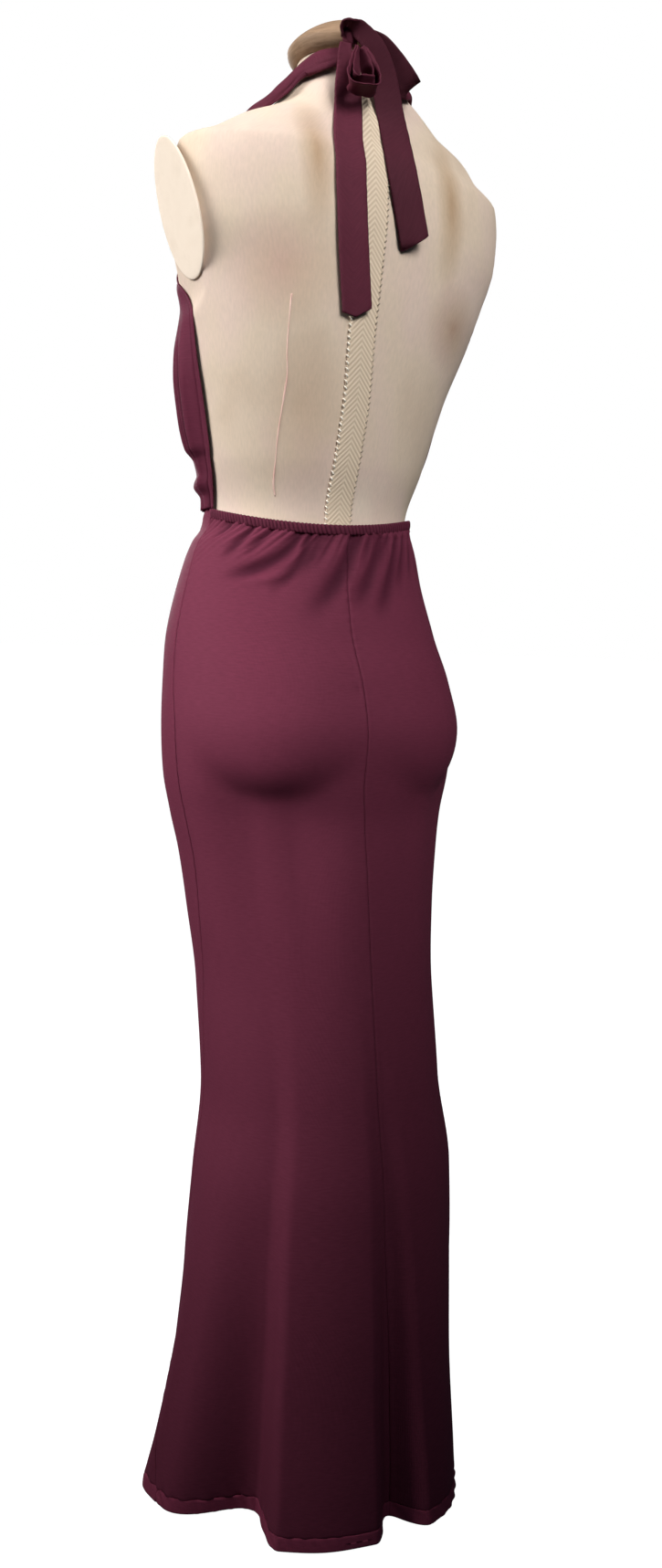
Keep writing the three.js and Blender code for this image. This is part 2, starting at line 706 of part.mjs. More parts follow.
function addArmPlate(name, side) {
  const outline = Array.from({ length: plateSegments }, (_, k) => {
    const a = (2 * Math.PI * k) / plateSegments;
    const halfBreadth = plate.halfBreadth * (1 - plate.egg * Math.sin(a));
    return new THREE.Vector2(halfBreadth * Math.cos(a), plate.halfHeight * Math.sin(a));
  });
  const geometry = new THREE.ExtrudeGeometry(new THREE.Shape(outline), {
    depth: plateWall,
    bevelEnabled: false,
  });
  const lean = radians(plate.lean);
  const toe = radians(plate.toe);
  const outwards = Math.cos(lean);
  const normal = new THREE.Vector3(side * outwards * Math.cos(toe), -outwards * Math.sin(toe), -Math.sin(lean));
  const breadth = new THREE.Vector3(0, 0, 1).cross(normal).normalize();
  breadth.applyAxisAngle(normal, side * radians(plate.roll));
  const height = new THREE.Vector3().crossVectors(normal, breadth);
  const mesh = add(name, geometry, palePlate());
  mesh.quaternion.setFromRotationMatrix(new THREE.Matrix4().makeBasis(breadth, height, normal));
  mesh.position.set(plate.x * side, plate.y, plate.z).addScaledVector(normal, 2 * seamGap);
}

// A round turned piece: its profile is a list of radii and heights, from the axis back to the axis.
function turned(profile, segments) {
  const geometry = new THREE.LatheGeometry(profile.map(([r, z]) => new THREE.Vector2(r, z)), segments);
  return geometry.rotateX(Math.PI / 2);
}

function addNeckCap() {
  const neck = torsoRings[torsoRings.length - 1];
  const arcSteps = 8;
  const profile = [[0, 0]];
  for (let k = 0; k <= arcSteps / 2; k += 1) {
    const a = Math.PI * (k / arcSteps);
    profile.push([capFoot + (capRadius - capFoot) * Math.sin(a), capLip * (1 - Math.cos(a))]);
  }
  for (let k = 1; k < arcSteps; k += 1) {
    const a = (Math.PI / 2) * (k / arcSteps);
    const rise = (capHeight - capLip) * Math.sin(a) ** capDome;
    profile.push([capRadius * Math.cos(a) ** capDome, capLip + rise]);
  }
  profile.push([0, capHeight]);
  const cap = add('form_neck_cap', turned(profile, capSegments), brownWood());
  cap.position.set(neck.shiftX, neck.shiftY, neck.level + seamGap);
}

function addStand() {
  const boardTop = torsoFloor - seamGap;
  const boardFloor = boardTop - boardHeight;
  const boardRing = (level, ease) =>
    Array.from({ length: torsoColumns }, (_, k) => {
      const point = torsoOval((360 * k) / torsoColumns, torsoFloor, ease);
      point.z = level;
      return point;
    });
  const board = loft([boardRing(boardFloor, -boardInset - boardTaper), boardRing(boardTop, -boardInset)]);
  add('form_bottom_board', board, brownWood());
  const poleFloor = baseHeight + seamGap;
  const poleTop = boardFloor - seamGap;
  const pole = [
    [0, poleFloor],
    [poleRadius, poleFloor],
    [poleRadius, poleTop],
    [0, poleTop],
  ];
  add('stand_pole', turned(pole, poleSegments), paleSteel());
  const inner = poleRadius + 2 * seamGap;
  const collarTop = poleFloor + collarHeight;
  const collar = [
    [inner, poleFloor],
    [collarRadius, poleFloor],
    [collarRadius, collarTop - collarBevel],
    [collarRadius - collarBevel, collarTop],
    [inner, collarTop],
    [inner, poleFloor],
  ];
  add('stand_collar', turned(collar, poleSegments), blackIron());
  const base = [
    [0, 0],
    [baseRadius, 0],
    [baseRadius, baseHeight - baseBevel],
    [baseRadius - baseBevel, baseHeight],
    [0, baseHeight],
  ];
  add('stand_base', turned(base, baseSegments), blackIron());
}

addTorso();
addCentreTape();
addArmPlate('form_arm_plate_left', 1);
addArmPlate('form_arm_plate_right', -1);
addNeckCap();
addStand();
skirtPanels.forEach(addSkirtPanel);
skirtPanels.forEach(addHem);
addWaistCasing();
addBodicePanel('bodice_left', 1);
addBodicePanel('bodice_right', -1);
add('strap_left', strapRoll(leftStrapPath, 1), burgundyJersey());
add('strap_right', strapRoll(rightStrapPath, -1), burgundyJersey());
addKnot();
addBow();

export default dress;
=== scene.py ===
import bpy
import numpy as np
from mathutils import Matrix


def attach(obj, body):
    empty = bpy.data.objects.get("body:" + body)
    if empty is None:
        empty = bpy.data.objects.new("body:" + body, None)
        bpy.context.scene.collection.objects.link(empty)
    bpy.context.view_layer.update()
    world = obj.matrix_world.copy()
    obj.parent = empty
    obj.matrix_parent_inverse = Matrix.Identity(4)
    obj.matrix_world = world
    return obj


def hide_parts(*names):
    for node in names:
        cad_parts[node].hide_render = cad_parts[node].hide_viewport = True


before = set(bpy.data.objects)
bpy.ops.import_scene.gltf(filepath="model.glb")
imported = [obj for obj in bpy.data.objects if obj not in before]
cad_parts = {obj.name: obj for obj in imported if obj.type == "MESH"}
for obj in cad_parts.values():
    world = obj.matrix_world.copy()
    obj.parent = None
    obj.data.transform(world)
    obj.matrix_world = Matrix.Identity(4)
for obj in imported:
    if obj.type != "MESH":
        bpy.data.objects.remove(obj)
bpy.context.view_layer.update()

# A mermaid dress on a limbless dress form. The front faces -Y and the wearer's left side is +X.
# Tables hold millimetres and degrees, as a maker's pattern does, and meshes are in metres.
# Angles go round the figure: 0 at the left side, 90 centre back, 180 right side, 270 front.
mm = 0.001
gap = 0.3  # clearance between neighbouring solids


def table(names, *rows):
    # named columns of numbers, a row for each section
    return dict(zip(names, np.array(rows, float).T))


def softStep(t):
    # rises from 0 to 1 with level ends: three t squared less two t cubed
    t = np.clip(t, 0, 1)
    return t * t * (3 - 2 * t)


def bell(t):
    # 1 in the middle, fading both ways: e to the power of minus t squared
    return np.exp(-t * t)


def between(first, last, share):
    # the value that lies this share of the way from the first to the last
    return first + (last - first) * share


def unevenWave(place, pitch, wobble, wander):
    # a sine whose pitch comes and goes, as a slower sine shifts its phase
    return np.sin(2 * np.pi * (place / pitch + wobble * np.sin(place / wander)))


def creaseLine(phase):
    # 0 along sharp valleys and 1 between them: the root of a rectified sine
    return np.abs(np.sin(phase)) ** 0.6


def read(columns, name, level):
    # cubic pieces through a column; a row's slope is the harmonic mean of its two sides', 0 at a turn
    x, y = columns["level"], columns[name]
    at = np.clip(level, x[0], x[-1])
    steps = np.diff(y) / np.diff(x)
    before, after = steps[:-1], steps[1:]
    same = before * after > 0
    middle = np.where(same, 2 * before * after / np.where(same, before + after, 1), 0)
    slopes = np.concatenate((steps[:1], middle, steps[-1:]))
    k = np.clip(np.searchsorted(x, at, side="right") - 1, 0, len(x) - 2)
    span = x[k + 1] - x[k]
    t = (at - x[k]) / span
    rise = t * t * (3 - 2 * t)
    bend = slopes[k] * span * t * (1 - t) ** 2 - slopes[k + 1] * span * t * t * (1 - t)
    return y[k] * (1 - rise) + y[k + 1] * rise + bend


def alongPath(columns, names, share):
    # a curve through every row, its tangent at a row being half the step between its neighbours
    rows = np.stack([columns[name] for name in names], -1)
    tangents = np.gradient(rows, axis=0)
    place = np.clip(share, 0, 1) * (len(rows) - 1)
    k = np.clip(place.astype(int), 0, len(rows) - 2)
    t = (place - k)[..., None]
    rise = t * t * (3 - 2 * t)
    bend = tangents[k] * t * (1 - t) ** 2 - tangents[k + 1] * t * t * (1 - t)
    return rows[k] * (1 - rise) + rows[k + 1] * rise + bend


def unit(vectors):
    # each vector over its own length
    return vectors / np.linalg.norm(vectors, axis=-1, keepdims=True)


def gridNormals(points):
    # the cross product of a grid's steps along its rows and up its columns
    return unit(np.cross(np.gradient(points, axis=1), np.gradient(points, axis=0)))


def flatSection(count):
    # a thin oblong seen end on, across and through, from -1 to 1: its points evenly spread, its ends round
    turn = np.linspace(0, 2 * np.pi, count, endpoint=False)
    across = np.arcsin(np.cos(turn)) * 2 / np.pi
    return across, np.sign(np.sin(turn)) * np.sqrt(1 - np.abs(across) ** 8)


def gatheredEnds(count, closeness):
    # shares from 0 to 1 that lie closer at both ends
    t = np.linspace(0, 1, count)
    return t - closeness * np.sin(2 * np.pi * t) / (2 * np.pi)


def addMesh(name, points, faces):
    # a mesh in metres from points in millimetres, as an object at the origin
    mesh = bpy.data.meshes.new(name)
    mesh.from_pydata(points.reshape(-1, 3) * mm, [], faces)
    piece = bpy.data.objects.new(name, mesh)
    bpy.context.scene.collection.objects.link(piece)
    return piece


def cellCorners(grid):
    # the four corners of every cell of a grid, anticlockwise seen from outside
    return np.stack((grid[:-1, :-1], grid[:-1, 1:], grid[1:, 1:], grid[1:, :-1]), 2)


def makeSurface(name, points, uv=None, closed=False, creaseShade=None):
    # a grid of points in millimetres, rows up or along, columns anticlockwise seen from outside;
    # a closed one joins its last column to its first and has a face at each end
    rows, columns = points.shape[:2]
    number = np.arange(rows * columns).reshape(rows, columns)
    if closed:
        number = np.hstack((number, number[:, :1]))
    faces = cellCorners(number).reshape(-1, 4).tolist()
    quads = len(faces)
    if closed:
        faces += [number[0, -2::-1].tolist(), number[-1, :-1].tolist()]
    piece = addMesh(name, points, faces)
    mesh = piece.data
    mesh.polygons.foreach_set("use_smooth", np.arange(len(faces)) < quads)
    if uv is not None:
        layer = mesh.uv_layers.new(name="clothMap")
        values = np.zeros((len(layer.data), 2), np.float32)
        values[: 4 * quads] = cellCorners(uv).reshape(-1, 2) * mm
        layer.data.foreach_set("uv", values.ravel())
    # a mask of painted shade, 0 to 1, that the jersey's colour reads
    if creaseShade is not None:
        layer = mesh.attributes.new("creaseShade", "FLOAT", "POINT")
        depth = np.broadcast_to(creaseShade, (rows, columns)).astype(np.float32)
        layer.data.foreach_set("value", depth.ravel())
    mesh.update()
    return piece


def gridUv(across, along):
    # each point's place across and along the cloth, in millimetres
    return np.stack(np.broadcast_arrays(across, along), -1)


def thicken(piece, thickness):
    # the wall goes inwards from the outer face
    wall = piece.modifiers.new("wall", "SOLIDIFY")
    wall.thickness = thickness * mm
    wall.offset = -1


def finishPiece(piece, material, slotName, *nodes):
    # its material, its body, the name of a slot, which is not used, and the solids it stands for
    piece.data.materials.append(material)
    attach(piece, "root")
    if nodes:
        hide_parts(*nodes)
    return piece


def lathe(name, profile, sides, place=(0, 0, 0)):
    # a profile of radii and heights turned about an upright axis
    turn = np.linspace(0, 2 * np.pi, sides, endpoint=False)
    radius, height = np.array(profile, float).T
    x = radius[:, None] * np.cos(turn)
    y = radius[:, None] * np.sin(turn)
    z = height[:, None] + 0 * turn
    uv = gridUv(np.append(turn, 2 * np.pi) * radius.max(), height[:, None])
    return makeSurface(name, np.stack((x, y, z), -1) + np.array(place, float), uv, closed=True)


def newMaterial(name, sockets):
    # a principled shader with plain values set on its own sockets
    material = bpy.data.materials.new(name)
    material.use_nodes = True
    shader = material.node_tree.nodes["Principled BSDF"]
    for socket, value in sockets.items():
        shader.inputs[socket].default_value = value
    return material


def addNode(material, kind, sockets=None, links=None, **settings):
    # a node with its values, what feeds its sockets and its own settings
    node = material.node_tree.nodes.new(kind)
    for key, value in settings.items():
        setattr(node, key, value)
    for socket, value in (sockets or {}).items():
        node.inputs[socket].default_value = value
    for socket, source in (links or {}).items():
        material.node_tree.links.new(source, node.inputs[socket])
    return node


def linkShader(material, socket, source):
    # a pattern into a socket of the material's shader
    shader = material.node_tree.nodes["Principled BSDF"]
    material.node_tree.links.new(source, shader.inputs[socket])


def blotchy(material, source, scale, stretch, colours, detail=4.0):
    # a soft noise through a ramp of colours, stretched along each axis
    mapping = addNode(material, "ShaderNodeMapping", {"Scale": stretch}, {"Vector": source})
    noise = addNode(
        material,
        "ShaderNodeTexNoise",
        {"Scale": scale, "Detail": detail, "Roughness": 0.55},
        {"Vector": mapping.outputs["Vector"]},
    )
    ramp = addNode(material, "ShaderNodeValToRGB", links={"Fac": noise.outputs["Fac"]})
    elements = ramp.color_ramp.elements
    places = np.linspace(0.3, 0.7, len(colours))
    while len(elements) < len(colours):
        elements.new(0.5)
    for element, place, colour in zip(elements, places, colours):
        element.position = place
        element.color = (*colour, 1)
    return ramp.outputs["Color"]


def threads(material, source, pitch, direction):
    # even bands a pitch apart; the texture's own period is 0.314 over its scale
    return addNode(
        material,
        "ShaderNodeTexWave",
        {"Scale": 0.314 / pitch, "Distortion": 0.6, "Detail": 1.0, "Detail Scale": 1.5},
        {"Vector": source},
        bands_direction=direction,
    ).outputs["Fac"]


def feed(material, socket, value):
    # a number or colour is set on the socket itself, and another node's output is linked to it
    if isinstance(value, (int, float, tuple)):
        socket.default_value = value
    else:
        material.node_tree.links.new(value, socket)


def mathNode(material, operation, first, second):
    node = addNode(material, "ShaderNodeMath", operation=operation)
    feed(material, node.inputs[0], first)
    feed(material, node.inputs[1], second)
    return node.outputs[0]


def addBump(material, height, strength, distance):
    # fine relief; the distance is in metres
    bump = addNode(
        material,
        "ShaderNodeBump",
        {"Strength": strength, "Distance": distance},
        {"Height": height},
    )
    linkShader(material, "Normal", bump.outputs["Normal"])


def objectSource(material):
    # metres from the origin
    return addNode(material, "ShaderNodeTexCoord").outputs["Object"]


def mapSource(material):
    # metres across and along the cloth
    return addNode(material, "ShaderNodeUVMap", uv_map="clothMap").outputs["UV"]


def multiplied(material, first, second, factor=1.0):
    # two colours multiplied; the second may be a plain colour and the factor a pattern
    node = addNode(material, "ShaderNodeMix", links={"A": first}, data_type="RGBA", blend_type="MULTIPLY")
    feed(material, node.inputs["B"], second)
    feed(material, node.inputs["Factor"], factor)
    return node.outputs["Result"]


jersey = {
    "dark": (0.143, 0.0272, 0.052),
    "light": (0.176, 0.0337, 0.0642),
    "waleMm": 1.1,
    "courseMm": 0.9,
    "roughness": 0.58,
    "sheen": 0.03,
    "sheenTint": (0.9, 0.3, 0.45, 1),
    "creaseShadeTint": (0.34, 0.30, 0.36, 1),
}


def makeJersey(name, paintedLightTint=(1.0, 1.0, 1.0)):
    # knitted: upright wales crossed by courses, with a soft sheen and slightly uneven dye
    material = newMaterial(
        name,
        {
            "Roughness": jersey["roughness"],
            "Specular IOR Level": 0.05,
            "Sheen Weight": jersey["sheen"],
            "Sheen Roughness": 0.42,
            "Sheen Tint": jersey["sheenTint"],
        },
    )
    where = mapSource(material)
    # the tint scales a copy's colour: below 1 it is painted shade, above 1 painted light
    dyes = [tuple(a * b for a, b in zip(paintedLightTint, jersey[key])) for key in ("dark", "light")]
    middle = tuple((a + b) / 2 for a, b in zip(*dyes))
    cloudy = blotchy(material, where, 700, (0.15, 1, 1), (dyes[0], middle, dyes[1]), 6.0)
    # painted shade: the bottoms of creases are darkened in colour, as little light reaches them
    creaseShade = addNode(material, "ShaderNodeAttribute", attribute_name="creaseShade").outputs["Fac"]
    linkShader(material, "Base Color", multiplied(material, cloudy, jersey["creaseShadeTint"], creaseShade))
    wales = threads(material, where, jersey["waleMm"] * mm, "X")
    courses = threads(material, where, jersey["courseMm"] * mm, "Y")
    addBump(material, mathNode(material, "MULTIPLY", wales, courses), 0.5, 0.0004)
    return material


linenCloth = {
    "clouds": ((0.62, 0.49, 0.37), (0.68, 0.55, 0.425), (0.69, 0.54, 0.45), (0.74, 0.615, 0.5)),
    "slubs": ((0.94, 0.94, 0.94), (1.03, 1.02, 1.02)),
    "weftMm": 0.9,
    "warpMm": 0.8,
    "patches": [  # place, half sizes, colour
        ((71, 95, 1325), (20, 60, 75), (0.66, 0.55, 0.44, 1)),
        ((-84, 99, 1310), (22, 60, 90), (0.70, 0.60, 0.48, 1)),
        ((99, 94, 1224), (62, 60, 58), (0.86, 0.76, 0.71, 1)),
        ((-105, 89, 1200), (45, 60, 45), (0.66, 0.58, 0.50, 1)),
        ((60, 80, 1090), (50, 60, 90), (0.90, 0.84, 0.80, 1)),
    ],
}


def makeLinen():
    # plain weave over padding, with pale, pinkish and yellowish clouds from age
    material = newMaterial("formLinen", {"Roughness": 0.86, "Specular IOR Level": 0.2})
    where = objectSource(material)
    flat = mapSource(material)
    clouds = blotchy(material, where, 7, (1.3, 1.3, 0.8), linenCloth["clouds"], 3.0)
    slubs = blotchy(material, flat, 420, (1, 0.3, 1), linenCloth["slubs"], 2.0)
    colour = multiplied(material, clouds, slubs)
    for place, size, patchColour in linenCloth["patches"]:
        # a soft ball that darkens the colour: 1 in its middle and 0 at its edge
        shrink = [1 / (half * mm) for half in size]
        moved = [-middle / half for middle, half in zip(place, size)]
        values = {"Location": moved, "Scale": shrink}
        mapping = addNode(material, "ShaderNodeMapping", values, {"Vector": where})
        links = {"Vector": mapping.outputs["Vector"]}
        ball = addNode(material, "ShaderNodeTexGradient", links=links, gradient_type="SPHERICAL")
        colour = multiplied(material, colour, patchColour, ball.outputs["Fac"])
    linkShader(material, "Base Color", colour)
    weft = threads(material, flat, linenCloth["weftMm"] * mm, "Y")
    warp = threads(material, flat, linenCloth["warpMm"] * mm, "X")
    addBump(material, mathNode(material, "ADD", weft, warp), 0.14, 0.0002)
    return material


def makeHerringbone(tape):
    # two diagonals that meet in the middle of the tape: bands of the height plus the distance from there
    material = newMaterial("formTape", {"Roughness": 0.8, "Specular IOR Level": 0.25})
    where = mapSource(material)
    parts = addNode(material, "ShaderNodeSeparateXYZ", links={"Vector": where})
    aside = mathNode(material, "ABSOLUTE", parts.outputs["X"], 0.0)
    slanted = mathNode(material, "MULTIPLY_ADD", aside, tape["slope"])
    material.node_tree.links.new(parts.outputs["Y"], slanted.node.inputs[2])
    turns = mathNode(material, "MULTIPLY", slanted, 2 * np.pi / (tape["pitch"] * mm))
    wave = mathNode(material, "SINE", turns, 0.0)
    ramp = addNode(material, "ShaderNodeMapRange", {"From Min": -1.0}, {"Value": wave})
    mix = addNode(
        material,
        "ShaderNodeMix",
        {"A": tape["dark"], "B": tape["light"]},
        {"Factor": ramp.outputs["Result"]},
        data_type="RGBA",
    )
    linkShader(material, "Base Color", mix.outputs["Result"])
    addBump(material, ramp.outputs["Result"], 0.6, 0.0005)
    return material


def makeWood(name, dark, light):
    # turned wood: streaks that run round the piece and a worn wax
    material = newMaterial(name, {"Roughness": 0.6, "Specular IOR Level": 0.2})
    colours = (dark, light, dark, light)
    streaks = blotchy(material, objectSource(material), 30, (1, 1, 7), colours, 7.0)
    linkShader(material, "Base Color", streaks)
    grain = addNode(material, "ShaderNodeTexNoise", {"Scale": 260.0}, {"Vector": objectSource(material)})
    addBump(material, grain.outputs["Fac"], 0.15, 0.0004)
    return material


def makeMetal(name, colour, roughness, metallic):
    # upright brushed streaks and fine pits
    material = newMaterial(name, {"Metallic": metallic, "Roughness": roughness})
    streaks = [tuple(c * k for c in colour) for k in (0.88, 1.0, 1.1)]
    brushed = blotchy(material, objectSource(material), 90, (1, 1, 0.1), streaks)
    linkShader(material, "Base Color", brushed)
    pits = addNode(material, "ShaderNodeTexNoise", {"Scale": 900.0}, {"Vector": objectSource(material)})
    addBump(material, pits.outputs["Fac"], 0.12, 0.0002)
    return material


view = {  # metres, degrees, and the lens in millimetres
    "distance": 1.3,
    "height": 0.9,
    "azimuth": 32.0,
    "pitch": 7.7,
    "roll": 2.3,
    "lens": 27.74,
    "shift": 0.0198,
}


def addCamera():
    # it stands behind the figure's left side, looks at the pole's axis and is pitched and rolled a little
    around, down, lean = np.radians([view["azimuth"], view["pitch"], view["roll"]])
    ahead = np.array([-np.sin(around) * np.cos(down), -np.cos(around) * np.cos(down), -np.sin(down)])
    right = unit(np.cross(ahead, [0, 0, 1]))
    up = np.cross(right, ahead)
    rolledRight = right * np.cos(lean) + up * np.sin(lean)
    rolledUp = up * np.cos(lean) - right * np.sin(lean)
    place = np.array([np.sin(around), np.cos(around), 0]) * view["distance"]
    place[2] = view["height"]
    data = bpy.data.cameras.new("camera")
    data.lens = view["lens"]
    data.shift_x = view["shift"]
    data.clip_end = 50
    camera = bpy.data.objects.new("camera", data)
    axes = np.eye(4)
    axes[:3, :] = np.stack((rolledRight, rolledUp, -ahead, place), 1)
    camera.matrix_world = Matrix(axes.tolist())
    bpy.context.scene.collection.objects.link(camera)
    bpy.context.scene.camera = camera


studio = {
    "lights": (  # name, place, aim, size, power, spread in degrees
        ("side", (1.7, -0.35, 1.85), (0, 0.03, 1.14), 1.5, 10.0, 51),
        ("front", (-0.5, -2.1, 1.7), (0, 0, 0.8), 1.6, 9.0, 80),
        ("top", (0.1, 1.6, 2.35), (0, 0, 1.3), 1.2, 4.9, 41),
    ),
    "roomColour": (0.62, 0.82, 1.0, 1),
    "roomLight": 0.036,
    "floorSize": 60,  # metres
}


def addLight(name, place, aim, size, power, spread):
    # a square soft light, turned so that its own Z points back from what it is aimed at
    data = bpy.data.lights.new(name, "AREA")
    data.size = size
    data.energy = power
    data.spread = np.radians(spread)
    light = bpy.data.objects.new(name, data)
    back = unit(np.array(place, float) - np.array(aim, float))
    side = unit(np.cross([0, 0, 1], back))
    axes = np.eye(4)
    axes[:3, :] = np.stack((side, np.cross(back, side), back, place), 1)
    light.matrix_world = Matrix(axes.tolist())
    light.visible_camera = False
    bpy.context.scene.collection.objects.link(light)


def addStudio():
    # the lights, a dim room, a white backdrop and a pale floor
    for light in studio["lights"]:
        addLight(*light)
    world = bpy.data.worlds.new("studio")
    bpy.context.scene.world = world
    world.use_nodes = True
    nodes, links = world.node_tree.nodes, world.node_tree.links
    room = nodes["Background"]
    room.inputs["Color"].default_value = studio["roomColour"]
    room.inputs["Strength"].default_value = studio["roomLight"]
    backdrop = nodes.new("ShaderNodeBackground")
    backdrop.inputs["Color"].default_value = (1, 1, 1, 1)
    seen = nodes.new("ShaderNodeLightPath")
    mix = nodes.new("ShaderNodeMixShader")
    links.new(seen.outputs["Is Camera Ray"], mix.inputs[0])
    links.new(room.outputs[0], mix.inputs[1])
    links.new(backdrop.outputs[0], mix.inputs[2])
    links.new(mix.outputs[0], nodes["World Output"].inputs["Surface"])
    bpy.context.scene.view_settings.view_transform = "Standard"
    # the floor is a little bright of itself, so that it joins the backdrop
    half = studio["floorSize"] / 2 / mm
    corners = np.array([[[-half, -half, 0], [half, -half, 0]], [[-half, half, 0], [half, half, 0]]])
    floor = makeSurface("floor", corners - np.array([0, 0, 0.5]))
    pale = newMaterial(
        "paleFloor",
        {
            "Base Color": (0.5, 0.5, 0.5, 1),
            "Roughness": 0.9,
            "Emission Color": (1, 1, 1, 1),
            "Emission Strength": 1.0,
        },
    )
    floor.data.materials.append(pale)
    floor.visible_diffuse = False
    floor.visible_glossy = False


addCamera()
addStudio()
print("studio ready")

burgundy = makeJersey("burgundyJersey")
# lit and shaded copies of the jersey: the smaller cuts have painted shade, a little darker than the skirt,
# the right tail and the side loop deeper painted shade, and the turned hem painted light, brighter
burgundyBodiceShaded = makeJersey("burgundyBodiceShaded", (0.76, 0.74, 0.76))
burgundyHemLit = makeJersey("burgundyHemLit", (1.75, 1.6, 1.65))
burgundyCasingShaded = makeJersey("burgundyCasingShaded", (0.72, 0.72, 0.72))
burgundyTieShaded = makeJersey("burgundyTieShaded", (0.62, 0.68, 0.62))
burgundyTailShaded = makeJersey("burgundyTailShaded", (0.42, 0.48, 0.42))
burgundyFoldShaded = makeJersey("burgundyFoldShaded", (0.36, 0.42, 0.36))
linen = makeLinen()
print("materials ready")

formBody = {"columns": 200, "rowStep": 4.2, "neckLevel": 1442, "weaveRadius": 150}
torsoRings = table(
    ("level", "width", "back", "front", "shiftX", "shiftY"),
    (690, 140, 100, 88, 0, 4),
    (740, 150, 112, 94, 0, 6),
    (790, 156, 118, 97, 0, 8),
    (840, 152, 112, 98, 0, 5),
    (900, 141, 98, 97, 0, 0),
    (960, 122, 80, 90, 0, -2),
    (1005, 111, 75, 84, 0, -2),
    (1060, 124, 78, 92, 0, 6),
    (1130, 142, 83, 108, 0, 14),
    (1180, 157, 86, 116, -4, 19),
    (1230, 173, 88, 112, -8, 23),
    (1270, 186, 88, 106, -8, 26),
    (1305, 187, 84, 94, -7, 28),
    (1336, 183, 76, 76, -8, 29),
    (1352.5, 155, 68, 66, -11, 29),
    (1370, 131, 63, 62, -15, 29),
    (1386, 97, 56, 58, -15, 29),
    (1402, 78, 53, 55, -12, 28),
    (1415, 61, 51, 53, -8, 26),
    (1428, 50, 48, 50, -4, 24),
    (1442, 44, 44, 45, -1, 22),
)
armPlate = {
    "x": 170.5,
    "y": 20,
    "z": 1278,
    "halfHeight": 65,
    "halfBreadth": 42,
    "egg": 0.06,
    "lean": 15,
    "toe": 4,
    "roll": 11,
    "flatFoot": 1212,
    "flatEase": 8.5,
    "colours": ((0.80, 0.67, 0.54), (0.86, 0.73, 0.60), (0.83, 0.70, 0.57)),
    "profile": [  # share of its size and height over the flat, from its back to the middle of its face
        (0.002, 0.5),
        (0.6, 0.5),
        (0.97, 0.5),
        (0.99, 0.7),
        (1, 1.1),
        (1, 1.7),
        (0.99, 2.2),
        (0.975, 2.5),
        (0.94, 2.7),
        (0.85, 2.9),
        (0.65, 3.1),
        (0.35, 3.25),
        (0.002, 3.3),
    ],
}


def torsoOval(angle, level, ease=0.0):
    # an oval with one depth behind its middle line and another in front
    turn = np.radians(angle)
    depth = np.where(np.sin(turn) > 0, read(torsoRings, "back", level), read(torsoRings, "front", level))
    x = read(torsoRings, "shiftX", level) + (read(torsoRings, "width", level) + ease) * np.cos(turn)
    y = read(torsoRings, "shiftY", level) + (depth + ease) * np.sin(turn)
    return np.stack((x, y, level + 0 * x), -1)


def flatLimit(y, z):
    # how far out a leaning flat lets the form reach; below its foot it rounds back into the side
    inwards = np.tan(np.radians(armPlate["lean"])) / np.cos(np.radians(armPlate["toe"]))
    forward = np.tan(np.radians(armPlate["toe"]))
    rounding = np.maximum(0, (armPlate["flatFoot"] - z) / armPlate["flatEase"]) ** 2
    return armPlate["x"] + (z - armPlate["z"]) * inwards + (y - armPlate["y"]) * forward + rounding


def torsoSurface(angle, level):
    # the oval, cut by a leaning flat on each side for the arm plates
    points = torsoOval(angle, level)
    x, y, z = points[..., 0], points[..., 1], points[..., 2]
    limit = flatLimit(y, z)
    return np.stack((np.clip(x, -limit, limit), y, z), -1)


def makeFormBody():
    # rows lie an even step apart along the side's own profile, so that the shoulders stay smooth
    fine = np.linspace(torsoRings["level"][0], formBody["neckLevel"], 2000)
    width = read(torsoRings, "width", fine)
    travel = np.concatenate(([0], np.cumsum(np.hypot(np.diff(width), np.diff(fine)))))
    rows = int(travel[-1] / formBody["rowStep"])
    level = np.interp(np.linspace(0, travel[-1], rows), travel, fine)[:, None]
    angle = np.linspace(0, 360, formBody["columns"], endpoint=False)[None, :]
    points = torsoSurface(angle, level)
    girth = np.linspace(0, 2 * np.pi * formBody["weaveRadius"], formBody["columns"] + 1)
    body = makeSurface("formBody", points, gridUv(girth, level), closed=True)
    return finishPiece(body, linen, "form_linen", "form_body")


makeFormBody()

centreTape = {
    "width": 29,
    "wall": 1.5,
    "rows": 260,
    "sides": 28,
    "pitch": 5.2,
    "slope": 1.1,
    "dark": (0.60, 0.465, 0.335, 1),
    "light": (0.77, 0.635, 0.485, 1),
    "stitchStep": 5.6,
    "stitchRadius": 0.8,
    "stitchReach": 2.8,
    "stitchSlant": 1.5,
    # painted light: the stitches on the left edge are coloured lit and those on the right coloured in shade
    "leftThreadLit": ((0.92, 0.84, 0.70), (1.0, 0.95, 0.86)),
    "rightThreadShaded": ((0.30, 0.24, 0.18), (0.46, 0.38, 0.29)),
}
tapeLine = table(
    ("level", "x"),
    (690, 12),
    (1000, 13),
    (1105, 11.5),
    (1186, 15.5),
    (1309, 13),
    (1387, 8),
    (1442, 4),
)


def onBack(x, level):
    # the point of the form's back at a place across, and the outward normal there
    def point(x, level):
        middle = read(torsoRings, "shiftX", level)
        cosine = (x - middle) / read(torsoRings, "width", level)
        return torsoSurface(np.degrees(np.arccos(cosine)), level)

    here = point(x, level)
    up = point(x, level + 1.5) - point(x, level - 1.5)
    across = point(x + 0.5, level) - point(x - 0.5, level)
    return here, unit(np.cross(up, across))


